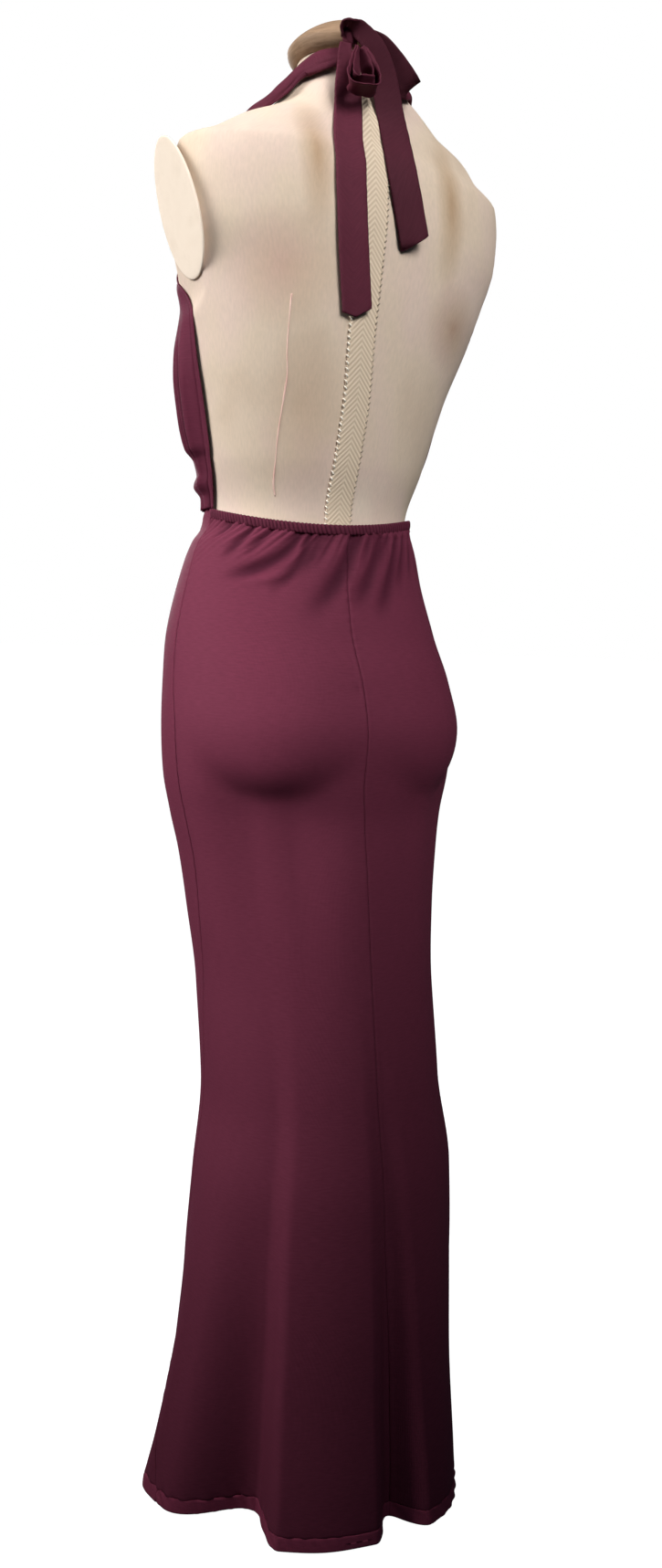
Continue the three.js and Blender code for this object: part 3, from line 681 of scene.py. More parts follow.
def makeCentreTape():
    # a flat tape that follows the back, its edges rounded: a long narrow section carried up the line
    rows = centreTape["rows"]
    level = np.linspace(torsoRings["level"][0], formBody["neckLevel"] - 1.6, rows)[:, None]
    turn = np.linspace(0, 2 * np.pi, centreTape["sides"], endpoint=False)[None, :]
    flatness = np.sign(np.cos(turn)) * np.abs(np.cos(turn)) ** 0.35
    across = -flatness * centreTape["width"] / 2
    out = np.sin(turn) * centreTape["wall"] / 2 + gap + centreTape["wall"] / 2
    here, normal = onBack(read(tapeLine, "x", level) + across, level)
    uv = gridUv(np.hstack((across, across[:, :1])), level)
    tape = makeSurface("formCentreTape", here + normal * out[..., None], uv, closed=True)
    return finishPiece(tape, makeHerringbone(centreTape), "form_tape", "form_centre_tape")


def makeWhipStitches(name, side, colours):
    # short slanting stitches over an edge of the tape, each a bent bar with six sides
    low, high = torsoRings["level"][0], formBody["neckLevel"]
    count = int((high - low) / centreTape["stitchStep"])
    start = low + 3 + centreTape["stitchStep"] * np.arange(count)
    bend = np.linspace(-1, 1, 7)
    turn = np.linspace(0, 2 * np.pi, 6, endpoint=False)
    level = np.clip(start[:, None] + bend * centreTape["stitchSlant"], low, high - 3)
    reach = side * (centreTape["width"] / 2 - 0.4 + bend * centreTape["stitchReach"] / 2)
    here, normal = onBack(read(tapeLine, "x", level) + reach, level)
    height = centreTape["wall"] + 2 * gap - 1.1 * np.maximum(0, bend) ** 2
    middle = here + normal * height[:, None]
    along = unit(np.gradient(middle, axis=1))
    aside = unit(np.cross(normal, along))
    size = centreTape["stitchRadius"] * np.sqrt(1 - 0.9 * bend**2)
    circle = aside[:, :, None] * np.cos(turn)[:, None] + normal[:, :, None] * np.sin(turn)[:, None]
    points = middle[:, :, None] + circle * size[:, None, None]
    # every stitch has the same faces, its points numbered on from its own first one
    rings, sides = len(bend), len(turn)
    number = np.arange(rings * sides).reshape(rings, sides)
    first = np.arange(count)[:, None, None] * rings * sides
    quads = cellCorners(np.hstack((number, number[:, :1]))).reshape(-1, 4) + first
    ends = np.stack((number[0, ::-1], number[-1])) + first
    faces = quads.reshape(-1, 4).tolist() + ends.reshape(-1, sides).tolist()
    stitches = addMesh(name, points, faces)
    stitches.data.shade_smooth()
    thread = newMaterial(name + "Thread", {"Roughness": 0.7, "Specular IOR Level": 0.3})
    linkShader(thread, "Base Color", blotchy(thread, objectSource(thread), 300, (1, 1, 1), colours))
    return finishPiece(stitches, thread, "form_tape")


dart = {"radius": 0.9, "steps": 90, "sides": 8, "colours": ((0.60, 0.36, 0.30), (0.78, 0.56, 0.48))}
dartLine = table(
    ("level", "x"),
    (1020, 76.5),
    (1032, 80),
    (1064, 82.5),
    (1102, 83.5),
    (1126, 83.5),
    (1150, 86),
    (1201, 88.5),
)


def makeDartSeam():
    # the ridge of a dart taken up in the linen: a thin cord half sunk into it
    level = np.linspace(dartLine["level"][0], dartLine["level"][-1], dart["steps"])[:, None]
    turn = np.linspace(0, 2 * np.pi, dart["sides"], endpoint=False)[None, :]
    radius = dart["radius"] * (0.7 + 0.3 * np.sin(level / 9) * np.sin(level / 23))
    aside = -radius * np.cos(turn)
    here, normal = onBack(read(dartLine, "x", level) + aside + 0.4 * np.sin(level / 14), level)
    ridge = makeSurface("formDartSeam", here + normal * (radius * np.sin(turn))[..., None], closed=True)
    thread = newMaterial("dartThread", {"Roughness": 0.85, "Specular IOR Level": 0.15})
    faded = blotchy(thread, objectSource(thread), 60, (1, 1, 1), dart["colours"])
    linkShader(thread, "Base Color", faded)
    return finishPiece(ridge, thread, "form_linen")


makeCentreTape()
makeWhipStitches("formTapeStitchesLeft", 1, centreTape["leftThreadLit"])
makeWhipStitches("formTapeStitchesRight", -1, centreTape["rightThreadShaded"])
makeDartSeam()


def makePlateFinish():
    # a smooth cream coat, very slightly mottled
    material = newMaterial("armPlate", {"Roughness": 0.6, "Specular IOR Level": 0.15})
    where = objectSource(material)
    linkShader(material, "Base Color", blotchy(material, where, 26, (1, 1, 1), armPlate["colours"]))
    fine = addNode(material, "ShaderNodeTexNoise", {"Scale": 500.0}, {"Vector": where})
    addBump(material, fine.outputs["Fac"], 0.1, 0.0002)
    return material


def makeArmPlate(name, side, node, material):
    # an oval disc with a slightly domed face and a round edge, lying on the form's flat
    lean, toe = np.radians([armPlate["lean"], armPlate["toe"]])
    normal = np.array([side * np.cos(lean) * np.cos(toe), -np.cos(lean) * np.sin(toe), -np.sin(lean)])
    level = unit(np.cross([0, 0, 1], normal))
    roll = side * np.radians(armPlate["roll"])
    upright = np.cross(normal, level)
    breadth = level * np.cos(roll) + upright * np.sin(roll)
    height = upright * np.cos(roll) - level * np.sin(roll)
    share, out = np.array(armPlate["profile"]).T[:, :, None, None]
    turn = np.linspace(0, 2 * np.pi, 96, endpoint=False)[:, None]
    halfBreadth = armPlate["halfBreadth"] * (1 - armPlate["egg"] * np.sin(turn))
    oval = halfBreadth * np.cos(turn) * breadth + armPlate["halfHeight"] * np.sin(turn) * height
    points = share * oval + out * normal
    centre = np.array([side * armPlate["x"], armPlate["y"], armPlate["z"]], float)
    plate = makeSurface(name, points + centre, closed=True)
    return finishPiece(plate, material, "arm_plate", node)


plateFinish = makePlateFinish()
makeArmPlate("armPlateLeft", 1, "form_arm_plate_left", plateFinish)
makeArmPlate("armPlateRight", -1, "form_arm_plate_right", plateFinish)

neckCap = {
    "radius": 54,
    "foot": 43,
    "height": 43,
    "lip": 12,
    "dome": 1.5,
    "dark": (0.235, 0.148, 0.088),
    "light": (0.33, 0.215, 0.135),
}


def makeNeckCap():
    # turned in one piece: a rounded rim that overhangs the neck, and a dome more pointed than an ellipse
    arc = np.linspace(0, np.pi / 2, 28)
    radius, lip, dome = neckCap["radius"], neckCap["lip"], neckCap["dome"]
    spread = radius - neckCap["foot"]
    foot = [(neckCap["foot"] + spread * np.sin(a), gap + lip * (1 - np.cos(a))) for a in arc[::3]]
    rise = neckCap["height"] - lip
    top = [(max(0.1, radius * np.cos(a) ** dome), lip + gap + rise * np.sin(a) ** dome) for a in arc[1:]]
    place = (torsoRings["shiftX"][-1], torsoRings["shiftY"][-1], formBody["neckLevel"])
    cap = lathe("neckCap", [(0.1, gap), (neckCap["foot"] - 1, gap), *foot, *top], 96, place)
    wood = makeWood("capWood", neckCap["dark"], neckCap["light"])
    return finishPiece(cap, wood, "turned_wood", "form_neck_cap")


makeNeckCap()

stand = {
    "board": 9,
    # how far each ring of the board's edge lies under the form, and outside its lowest ring
    "boardProfile": [(9.3, -10), (9.2, -8.6), (8.2, -7.8), (1.2, -6), (0.4, -6.4), (0.35, -8)],
    "boardDark": (0.13, 0.08, 0.05),
    "boardLight": (0.22, 0.145, 0.095),
    "pole": 16,
    "base": 100,
    "baseHeight": 16,
    "collar": 27,
    "collarHeight": 34,
    "steel": (0.6, 0.61, 0.63),
    "iron": (0.02, 0.02, 0.022),
}


def makeStand():
    # the board that closes the form, and the pole, collar and heavy round base that the skirt hides
    floorLevel = torsoRings["level"][0]
    angle = np.linspace(0, 360, 120, endpoint=False)
    rings = []
    for drop, ease in stand["boardProfile"]:
        ring = torsoOval(angle, floorLevel + 0 * angle, ease)
        ring[:, 2] = floorLevel - drop
        rings.append(ring)
    board = makeSurface("bottomBoard", np.array(rings), closed=True)
    wood = makeWood("boardWood", stand["boardDark"], stand["boardLight"])
    finishPiece(board, wood, "turned_wood", "form_bottom_board")
    top = floorLevel - stand["board"] - 2 * gap
    foot = stand["baseHeight"] + gap
    radius = stand["pole"]
    profile = [(0.1, foot), (radius - 0.5, foot), (radius, foot + 0.5), (radius, top), (0.1, top)]
    pole = lathe("standPole", profile, 64)
    finishPiece(pole, makeMetal("brushedSteel", stand["steel"], 0.32, 1.0), "stand_steel", "stand_pole")
    iron = makeMetal("blackIron", stand["iron"], 0.45, 0.0)
    inner, outer, top = stand["pole"] + 0.6, stand["collar"], foot + stand["collarHeight"]
    arc = np.linspace(0, np.pi / 2, 7)
    shoulder = [(outer - 5 + 5 * np.cos(a), top - 5 + 5 * np.sin(a)) for a in arc]
    radius, height = np.array([(inner, top), (inner, foot), (outer, foot), *shoulder, (inner, top)]).T
    turn = np.linspace(0, 2 * np.pi, 65)[:, None]
    points = np.stack((np.cos(turn) * radius, np.sin(turn) * radius, height + 0 * turn), -1)
    collar = makeSurface("standCollar", points[:, ::-1])
    finishPiece(collar, iron, "stand_iron", "stand_collar")
    size, thick = stand["base"], stand["baseHeight"]
    edge = [(size - 4 + 4 * np.cos(a), thick - 4 + 4 * np.sin(a)) for a in arc]
    profile = [(0.1, 0), (size - 1, 0), (size, 1), *edge, (size / 2, thick), (0.1, thick)]
    base = lathe("standBase", profile, 128)
    finishPiece(base, iron, "stand_iron", "stand_base")


makeStand()
print("dress form ready")

skirt = {
    "wall": 1.2,
    "waistLevel": 1008,
    "backDip": 12,
    "waistLean": 9,
    "casingHeight": 9,
    "hemLevel": 8,
    "hemHeight": 14,
    "fluteFade": 1.6,
    "waistRadius": 112,
    "hemRadius": 190,
    "gatherFoot": 870,
    "rows": 130,
    "hollow": 4.2,
    "seatReachAbove": 27,
    "seatReachBelow": 150,
}
skirtRings = table(
    ("level", "width", "back", "front", "shiftX", "shiftY", "seat", "leftSeam", "backSeam"),
    (8, 151.5, 150, 165, -1.5, 55, 0, 12, 90),
    (60, 151.5, 143, 158, -4.5, 58, 0, 4, 90),
    (130, 151.5, 133, 146, -6.5, 62, 0, -5, 90),
    (220, 151.5, 124, 134, -8.5, 66, 0, -13, 89),
    (320, 147, 117, 124, -9, 65, 0, -15, 88),
    (420, 133, 112, 120, -7, 56, 0, -12, 88),
    (520, 132, 111, 122, -4, 43, 1, -5, 89),
    (600, 139, 112, 123, -2, 33, 2, 1.5, 89),
    (660, 147, 113, 124, -1, 27, 3, 5, 88.5),
    (700, 155, 116, 123, 0, 22, 4, 6, 88),
    (740, 163, 125, 122, 0, 19, 6, 5.5, 86),
    (790, 167, 131, 121, -1, 17, 6, 4.5, 85.5),
    (840, 162, 124, 114, 0, 8, 4, 2.5, 86),
    (890, 152, 110, 107, 2, -2, 2, 3, 86),
    (940, 138, 97, 101, 2, -6, 0, 2, 86.5),
    (975, 127, 89.5, 97, 1, -5, 0, 0, 88),
    (990, 119, 86, 90, 0, -3, 0, 0, 88),
    (1008, 114.8, 81.5, 88.5, 0, -3, 0, 0, 88),
)
hemFlutes = [  # name, angle, half span, left flank, right flank, depth, top level
    ("left side", 10, 28, 24, 24, 51, 400),
    ("centre back", 66, 26, 12, 12, 48, 560),
    ("right back", 115, 30, 14, 42, 51, 500),
    ("right side", 194, 30, 24, 24, 42, 400),
    ("right front", 247, 24, 18, 18, 30, 400),
    ("left front", 288, 24, 18, 18, 24, 400),
]
skirtCreases = [  # name, three points of its line (angle, level), its breadth at each end, height, fades
    ("left, short", (22, 997), (17, 986), (10, 976), 3.5, 5, -3.8, 0.02, 0.7),
    ("left, second", (37, 994), (31, 972), (22, 953), 3.5, 6, -4.6, 0.02, 0.6),
    ("left, between", (49, 992), (42, 972), (36, 958), 3.5, 5, -3.8, 0.02, 0.7),
    ("long and curved", (62, 990), (53, 958), (25, 937), 4.5, 6, -5.5, 0.02, 0.35),
    ("ridge under it", (65, 988), (58, 945), (36, 938), 3.5, 4.5, 2.3, 0.2, 0.5),
    ("middle", (68, 990), (62, 950), (49, 927), 4, 8, -4.2, 0.02, 0.5),
    ("middle, straight", (74, 990), (70, 964), (64, 934), 3.5, 7, -3.2, 0.02, 0.6),
    ("before the seam", (79, 989), (75, 966), (69, 943), 3.5, 6, -2.3, 0.02, 0.7),
    ("long by the seam", (91, 989), (83, 944), (64, 892), 5, 10, -4.9, 0.02, 0.5),
    ("seam, short", (96, 989), (93, 978), (89, 964), 3, 5, -2.1, 0.02, 0.7),
    ("seam pull, upper", (85, 856), (79, 853), (70, 855), 2.5, 4, -0.9, 0.1, 0.8),
    ("seam pull, lower", (85, 838), (80, 836), (74, 839), 2.5, 4, -0.9, 0.1, 0.8),
    ("seam pull, ridge", (85, 847), (80, 844), (74, 847), 3, 4, 0.7, 0.1, 0.8),
    ("right, short", (102, 989), (98, 972), (94, 953), 3.5, 6, -2.6, 0.02, 0.7),
    ("right, long", (108, 990), (98, 944), (87, 908), 4, 9, -3.9, 0.02, 0.5),
    ("right, between", (114, 990), (108, 970), (104, 950), 3.5, 6, -2.6, 0.02, 0.7),
    ("right, second", (122, 991), (110, 940), (98, 900), 4, 9, -3.9, 0.02, 0.5),
    ("right, third", (131, 993), (122, 958), (113, 925), 4, 8, -3.1, 0.02, 0.6),
    ("right, fourth", (141, 996), (134, 968), (127, 940), 4, 7, -2.9, 0.02, 0.6),
    ("right, side", (152, 1000), (146, 975), (139, 948), 4, 7, -2.9, 0.02, 0.6),
    ("right, by the side", (166, 1004), (161, 984), (156, 962), 4, 6, -2.6, 0.02, 0.6),
]


def aroundSkirt(angle):
    # the same angle counted from -90, the centre front, up to 270
    return (angle + 90) % 360 - 90


def aroundWaist(angle):
    # how far round the waist an angle lies, in millimetres
    return np.radians(aroundSkirt(angle)) * skirt["waistRadius"]


def fluteDepth(angle, level):
    # each flute is a soft step up and a soft step down, and dies away to its top level
    depth = 0
    for _, centre, halfSpan, leftFlank, rightFlank, size, top in hemFlutes:
        off = (angle - centre + 180) % 360 - 180
        leftSide = softStep((off + halfSpan) / leftFlank)
        rightSide = softStep((halfSpan - off) / rightFlank)
        rise = np.clip((top - level) / (top - skirt["hemLevel"]), 0, 1)
        depth = depth + size * leftSide * rightSide * rise ** skirt["fluteFade"]
    return depth


def creaseHeight(angle, level, creases):
    # each crease is a bell across a line bent through three points, and fades at its two ends
    around = aroundWaist(angle)
    total = np.zeros(np.broadcast(around, level).shape)
    for _, start, middle, end, fromBreadth, toBreadth, height, startFade, endFade in creases:
        t = np.linspace(0, 1, 15)[:, None]
        knots = np.array([start, middle, end], float)
        knots[:, 0] = aroundWaist(knots[:, 0])
        bent = 2 * knots[1] - (knots[0] + knots[2]) / 2
        line = knots[0] * (1 - t) ** 2 + 2 * bent * t * (1 - t) + knots[2] * t * t
        nearest = np.full(total.shape, np.inf)
        along = np.zeros(total.shape)
        for k in range(len(line) - 1):
            stepX, stepY = line[k + 1] - line[k]
            awayX, awayY = around - line[k, 0], level - line[k, 1]
            share = np.clip((awayX * stepX + awayY * stepY) / (stepX**2 + stepY**2), 0, 1)
            distance = np.hypot(awayX - share * stepX, awayY - share * stepY)
            closer = distance < nearest
            nearest = np.where(closer, distance, nearest)
            along = np.where(closer, (k + share) / (len(line) - 1), along)
        breadth = between(fromBreadth, toBreadth, along)
        fade = softStep(along / startFade + 0.001) * softStep((1 - along) / endFade)
        total += height * bell(nearest / breadth) * fade
    return total


def skirtBase(angle, level):
    # an oval with a fuller seat, pushed out from its middle by the flutes
    turn = np.radians(angle)
    behind = np.maximum(0, np.sin(turn))
    depth = np.where(np.sin(turn) > 0, read(skirtRings, "back", level), read(skirtRings, "front", level))
    x = read(skirtRings, "width", level) * np.cos(turn)
    y = depth * np.sin(turn) - read(skirtRings, "seat", level) * behind**2 * np.cos(4 * turn)
    push = 1 + fluteDepth(angle, level) / np.hypot(x, y)
    middleX, middleY = read(skirtRings, "shiftX", level), read(skirtRings, "shiftY", level)
    return np.stack((x * push + middleX, y * push + middleY, level + 0 * x), -1)


def skirtNormal(angle, level):
    # the outward way, from short steps round and up
    along = skirtBase(angle + 0.05, level) - skirtBase(angle - 0.05, level)
    up = skirtBase(angle, level + 0.5) - skirtBase(angle, level - 0.5)
    return unit(np.cross(along, up))


def panelEdges(panel, level):
    # the angles of a panel's two sides: seams are read from the rings, and a lap takes the second past 360
    edges = [read(skirtRings, edge, level) if isinstance(edge, str) else edge for edge in panel["edges"]]
    return edges[0], edges[1] + panel["lap"]


gathers = {  # pairs are for the left side of the waist and the right, or for the shortest and the longest
    "wave": (8.6, 0.3, 21),
    "finerWave": (5.1, 0.2, 9),
    "finerHeight": 0.45,
    "heights": (1.6, 1.0),
    "leans": (1.15, 0.2),
    "reaches": (11, 18),
}


def gatherRipple(across, drop):
    # narrow gathers close under the waist: two uneven waves that lean to the side and die away below
    place = across + between(*gathers["leans"], softStep((across - 20) / 190)) * drop
    wave = unevenWave(place, *gathers["wave"])
    finer = gathers["finerHeight"] * unevenWave(place, *gathers["finerWave"])
    height = between(*gathers["heights"], softStep(across / 230))
    reach = between(*gathers["reaches"], np.sin(place / 13) ** 2)
    return height * (wave + finer) * np.exp(-drop / reach)


seam = {"depth": 0.75, "width": 0.9, "welt": 0.12, "pucker": 0.3, "puckerWave": (10.5, 0.25, 47)}


def seamShape(distance, level):
    # a narrow groove with a low welt beside it, and puckers along it
    groove = -seam["depth"] * bell(distance / seam["width"])
    welt = seam["welt"] * bell((distance - 3.2) / 1.6)
    pucker = seam["pucker"] * unevenWave(level, *seam["puckerWave"])
    return groove + welt + pucker * bell(distance / 5)


seatFolds = [  # middle angle, half span, lowest level, rise at its ends, depth
    (49, 31, 716, 27, 17),
    (126, 31, 719, 25, 11),
]


def seatFold(angle, level):
    # under each side of the seat the cloth steps in, and comes back slowly down the thigh
    total = 0
    for middle, halfSpan, lowest, rise, depth in seatFolds:
        off = (aroundSkirt(angle) - middle) / halfSpan
        away = level - lowest - rise * off**2
        reach = np.where(away > 0, skirt["seatReachAbove"], skirt["seatReachBelow"])
        total = total - depth * softStep(1.25 - np.abs(off)) * bell(away / reach)
    return total


def casingTop(angle):
    # the waist across the back is lower in the middle, and lower on the left than on the right
    turn = np.radians(angle)
    behind = np.maximum(0, np.sin(turn))
    lean = skirt["waistLean"] * np.cos(turn) * behind**0.7
    return skirt["waistLevel"] - skirt["backDip"] * behind**2 - lean


def panelGrid(panel):
    # rows are close under the waist and along the hem; the top row follows the casing or the waist seam
    hemTop = skirt["hemLevel"] + skirt["hemHeight"] - 1
    foot, waist = skirt["gatherFoot"], skirt["waistLevel"]
    low = np.concatenate((np.linspace(hemTop, 44, 9, endpoint=False), np.linspace(44, foot, skirt["rows"])))
    high = np.linspace(foot, waist, panel["topRows"])[1:]
    share = gatheredEnds(panel["columns"], 0.6)[None, :]
    nominal = np.concatenate((low, high))[:, None]
    first, last = panelEdges(panel, nominal)
    angle = between(first, last, share)
    top = waist + 0 * angle[0]
    if panel["underCasing"]:
        top = casingTop(angle[-1]) - skirt["casingHeight"] + 3
    rise = np.maximum(0, (nominal - foot) / (waist - foot))
    return angle, np.where(nominal > foot, foot + rise * (top - foot), nominal), share


def skirtPanel(panel):
    # the base surface moved out along its normal by creases, gathers, seams, hem and seat
    angle, level, share = panelGrid(panel)
    points = skirtBase(angle, level)
    drop = level.max(axis=0) - level
    out = creaseHeight(angle, level, panel["creases"])
    out += panel["ripple"] * gatherRipple(aroundWaist(angle), drop)
    out *= 0.5 + 0.5 * softStep(drop / 8)
    # hollows level off before they reach the form
    out = np.where(out < 0, -skirt["hollow"] * np.tanh(-out / skirt["hollow"]), out)
    # painted shade: the deeper a hollow, the darker its colour
    creaseShade = np.clip(-out / skirt["hollow"], 0, 1)
    width = np.linalg.norm(np.diff(points, axis=1), axis=-1).sum(axis=1)[:, None]
    out += seamShape(share * width, level) + seamShape((1 - share) * width, level)
    out += hemPull(angle, level) + seatFold(angle, level)
    moved = points + skirtNormal(angle, level) * out[..., None]
    piece = makeSurface("skirt" + panel["name"], moved, gridUv(share * width, level), creaseShade=creaseShade)
    thicken(piece, skirt["wall"])
    return finishPiece(piece, burgundy, "dress_jersey", "skirt_" + panel["node"])


hem = {
    "thick": 2.3,
    "proud": 0.35,
    "columns": 300,
    "sides": 32,
    "pucker": 0.75,
    "puckerSlant": 6,
    "puckerWave": (12.5, 0.4, 37),
    "groove": 0.7,
    "pullSlant": 0.7,
    "pullReach": 7,
    "pullWave": (17, 0.35, 41),
}


def hemPull(angle, level):
    # the stitching of the hem pulls small slanting puckers into the cloth above it
    drop = level - skirt["hemLevel"] - skirt["hemHeight"]
    place = np.radians(angle) * skirt["hemRadius"] + hem["pullSlant"] * drop
    wave = (0.5 + 0.4 * np.sin(place / 60)) * unevenWave(place, *hem["pullWave"])
    return wave * np.exp(-drop / hem["pullReach"]) - hem["groove"] * bell(drop / 1.5)


frontCreases = [  # as the back's
    ("left of the middle", (282, 1000), (280, 970), (277, 930), 5, 9, -1.8, 0.02, 0.6),
    ("right of the middle", (259, 1001), (261, 975), (264, 942), 5, 9, -1.6, 0.02, 0.6),
    ("left front", (303, 1002), (307, 978), (312, 950), 5, 8, -1.8, 0.02, 0.6),
    ("right front", (238, 1002), (233, 980), (227, 955), 5, 8, -1.8, 0.02, 0.6),
    ("left side", (334, 1003), (338, 985), (344, 962), 4, 7, -1.6, 0.02, 0.6),
    ("right side", (207, 1003), (203, 986), (198, 966), 4, 7, -1.6, 0.02, 0.6),
    ("left groin", (318, 842), (300, 800), (287, 778), 14, 18, -1.6, 0.3, 0.4),
    ("right groin", (222, 840), (240, 802), (252, 780), 14, 18, -1.6, 0.3, 0.4),
]
# the edges are seams or angles, and flat is the width and length that the panel was cut to, in metres
backPanel = {
    "lap": 0,
    "underCasing": True,
    "columns": 150,
    "topRows": 80,
    "ripple": 1.0,
    "creases": skirtCreases,
    "flat": (0.36, 1.0),
    "area": 0.25,
}
skirtPanels = [
    {"name": "BackLeft", "node": "back_left", "edges": ("leftSeam", "backSeam"), **backPanel},
    {"name": "BackRight", "node": "back_right", "edges": ("backSeam", 180), **backPanel},
    {
        "name": "Front",
        "node": "front",
        "edges": (180, "leftSeam"),
        "lap": 360,
        "underCasing": False,
        "columns": 180,
        "topRows": 56,
        "ripple": 0.5,
        "creases": frontCreases,
        "flat": (0.62, 1.0),
        "area": 0.45,
    },
]
skirtPieces = [skirtPanel(panel) for panel in skirtPanels]
print("skirt ready")


def hemBand(panel):
    # the hem turned up: a flat oblong section carried round under the panel, puckered by its stitches
    low, high = skirt["hemLevel"], skirt["hemLevel"] + skirt["hemHeight"]
    middle = (low + high) / 2
    angle = np.linspace(*panelEdges(panel, np.array(middle)), hem["columns"])[:, None]
    tall, through = flatSection(hem["sides"])
    place = np.radians(angle) * skirt["hemRadius"]
    wave = unevenWave(place + hem["puckerSlant"] * tall, *hem["puckerWave"])
    pucker = hem["pucker"] * wave * (0.6 + 0.4 * np.sin(place / 51)) * (through > 0)
    sag = 0.9 * np.sin(place / 33 + 1) + 0.4 * np.sin(place / 12.5)
    level = np.clip(middle + tall * skirt["hemHeight"] / 2 + sag * (tall < 0), low - 2.4, high)
    out = through * hem["thick"] / 2 + hem["proud"] - hem["thick"] / 2 + pucker
    points = skirtBase(angle, level) + skirtNormal(angle, middle + 0 * angle) * out[..., None]
    uv = gridUv(place, np.append(tall, tall[0]) * skirt["hemHeight"] / 2)
    piece = makeSurface("hem" + panel["name"], points, uv, closed=True)
    return finishPiece(piece, burgundyHemLit, "dress_jersey", "hem_" + panel["node"])


hemPieces = [hemBand(panel) for panel in skirtPanels]

casing = {
    "ends": (0.8, 179.2),
    "halfHeight": 5.2,
    "halfThick": 2.3,
    "wall": 0.5,
    "ribStep": 4.2,
    "ribDepth": 0.6,
    "rows": 620,
    "sides": 22,
}


def squarer(wave):
    # a wave from -1 to 1 with fuller crests, which makes a circle a little square
    return np.sign(wave) * np.abs(wave) ** 0.8


def waistCasing():
    # a soft roll round the back of the waist, ribbed by the elastic inside it
    angle = np.linspace(*casing["ends"], casing["rows"])[:, None]
    turn = np.linspace(0, 2 * np.pi, casing["sides"], endpoint=False)[None, :]
    centre = skirtBase(angle, casingTop(angle) - skirt["casingHeight"] / 2)
    normal = unit(np.cross(np.gradient(centre, axis=0), [0, 0, 1.0]))
    place = np.radians(angle) * skirt["waistRadius"]
    slanted = (place + 1.6 * np.cos(turn)) / casing["ribStep"]
    ribs = creaseLine(np.pi * slanted + 0.8 * np.sin(place / 17) + 0.5 * np.sin(place / 7))
    high = squarer(np.cos(turn)) * casing["halfHeight"] * (1 - 0.2 * (1 - ribs))
    out = squarer(np.sin(turn)) * casing["halfThick"] * (1 - casing["ribDepth"] * (1 - ribs))
    points = centre + normal * (out - 0.1)[..., None] + np.array([0, 0, 1.0]) * high[..., None]
    uv = gridUv(place, np.hstack((high, high[:, :1])))
    # painted shade darkens the valleys between the ribs
    piece = makeSurface("waistCasing", points, uv, closed=True, creaseShade=1 - ribs)
    thicken(piece, casing["wall"])
    return finishPiece(piece, burgundyCasingShaded, "dress_jersey", "waist_casing")


casingPiece = waistCasing()
print("hem and casing ready")

bodice = {
    "wall": 1.1,
    "top": 1318,
    "frontEaseShare": 0.55,
    "frontEaseSpan": 0.4,
    "sideEaseSpan": 0.11,
    "armholeEase": 4,
    "armholeRound": 6,
    "columns": 160,
    "rows": 130,
    "strapFolds": 5,
    "strapFoldHeight": 1.5,
    "strapFoldReach": 230,
    "waistFolds": 11,
    "waistFoldHeight": 1.2,
    "waistFoldReach": 16,
    "creaseDepth": 3.5,
}
bodiceRows = table(
    ("level", "sideEase", "fullEase", "frontEdge", "sideEdge"),
    (1008, 4, 8, 0, 90),
    (1020, 4, 8, 0, 91),
    (1031, 4, 14, 0, 92),
    (1043, 4, 9, 0, 93),
    (1056, 4, 10, 0, 93),
    (1066, 4, 16, 0, 94),
    (1090, 4, 18, 0, 94),
    (1120, 4, 17, 0, 94),
    (1157, 4, 12, 3, 93),
    (1185, 3, 6, 6, 91),
    (1200, 3, 4, 8, 85),
    (1212, 3, 4, 10, 78),
    (1225, 3, 4, 12, 68),
    (1245, 3.5, 4.5, 14, 54),
    (1280, 4, 6, 18, 42),
    (1318, 5, 7, 22, 36),
)
bodiceFolds = [  # middle and breadth as shares across, height, lowest and highest level
    (0.76, 0.03, 2.0, 1050, 1210),
    (0.8, 0.024, -5.0, 1050, 1195),
    (0.84, 0.018, 1.2, 1040, 1210),
    (0.868, 0.016, -4.2, 1035, 1170),
    (0.905, 0.018, 2.2, 1020, 1170),
]


def softLeast(value, limit):
    # the lesser of the two, rounded where they meet: half of their sum less the long side of a right
    # triangle whose short sides are their difference and the rounding
    return (value + limit - np.hypot(value - limit, bodice["armholeRound"])) / 2


def bodiceBase(share, level, side, extra=0.0):
    # the form's oval with ease, full in the middle and least along the side edge; share 0 is the front
    # edge; it is worked out on the left, and lies over the arm's flat too
    fromFront = softStep(share / bodice["frontEaseSpan"])
    frontShare = bodice["frontEaseShare"]
    fullness = softStep((1 - share) / bodice["sideEaseSpan"]) * between(frontShare, 1, fromFront)
    least, most = read(bodiceRows, "sideEase", level), read(bodiceRows, "fullEase", level)
    front, back = read(bodiceRows, "frontEdge", level), read(bodiceRows, "sideEdge", level)
    points = torsoOval(between(front, back, share) - 90, level, between(least, most, fullness) + extra)
    moved = 0 if side > 0 else 2 * read(torsoRings, "shiftX", level)
    limit = flatLimit(points[..., 1], level) + bodice["armholeEase"] + moved
    points[..., 0] = softLeast(points[..., 0], limit)
    return points


def strapWave(share, phase):
    # the folds that run up into the strap
    return np.sin(2 * np.pi * bodice["strapFolds"] * share + phase + 0.8 * np.sin(5 * share))


def edgeStitching(distance):
    # a stitched groove near an edge, and the turned cloth raised between them
    return -0.8 * bell((distance - 6.5) / 0.9) + 0.5 * bell((distance - 3) / 2.5)


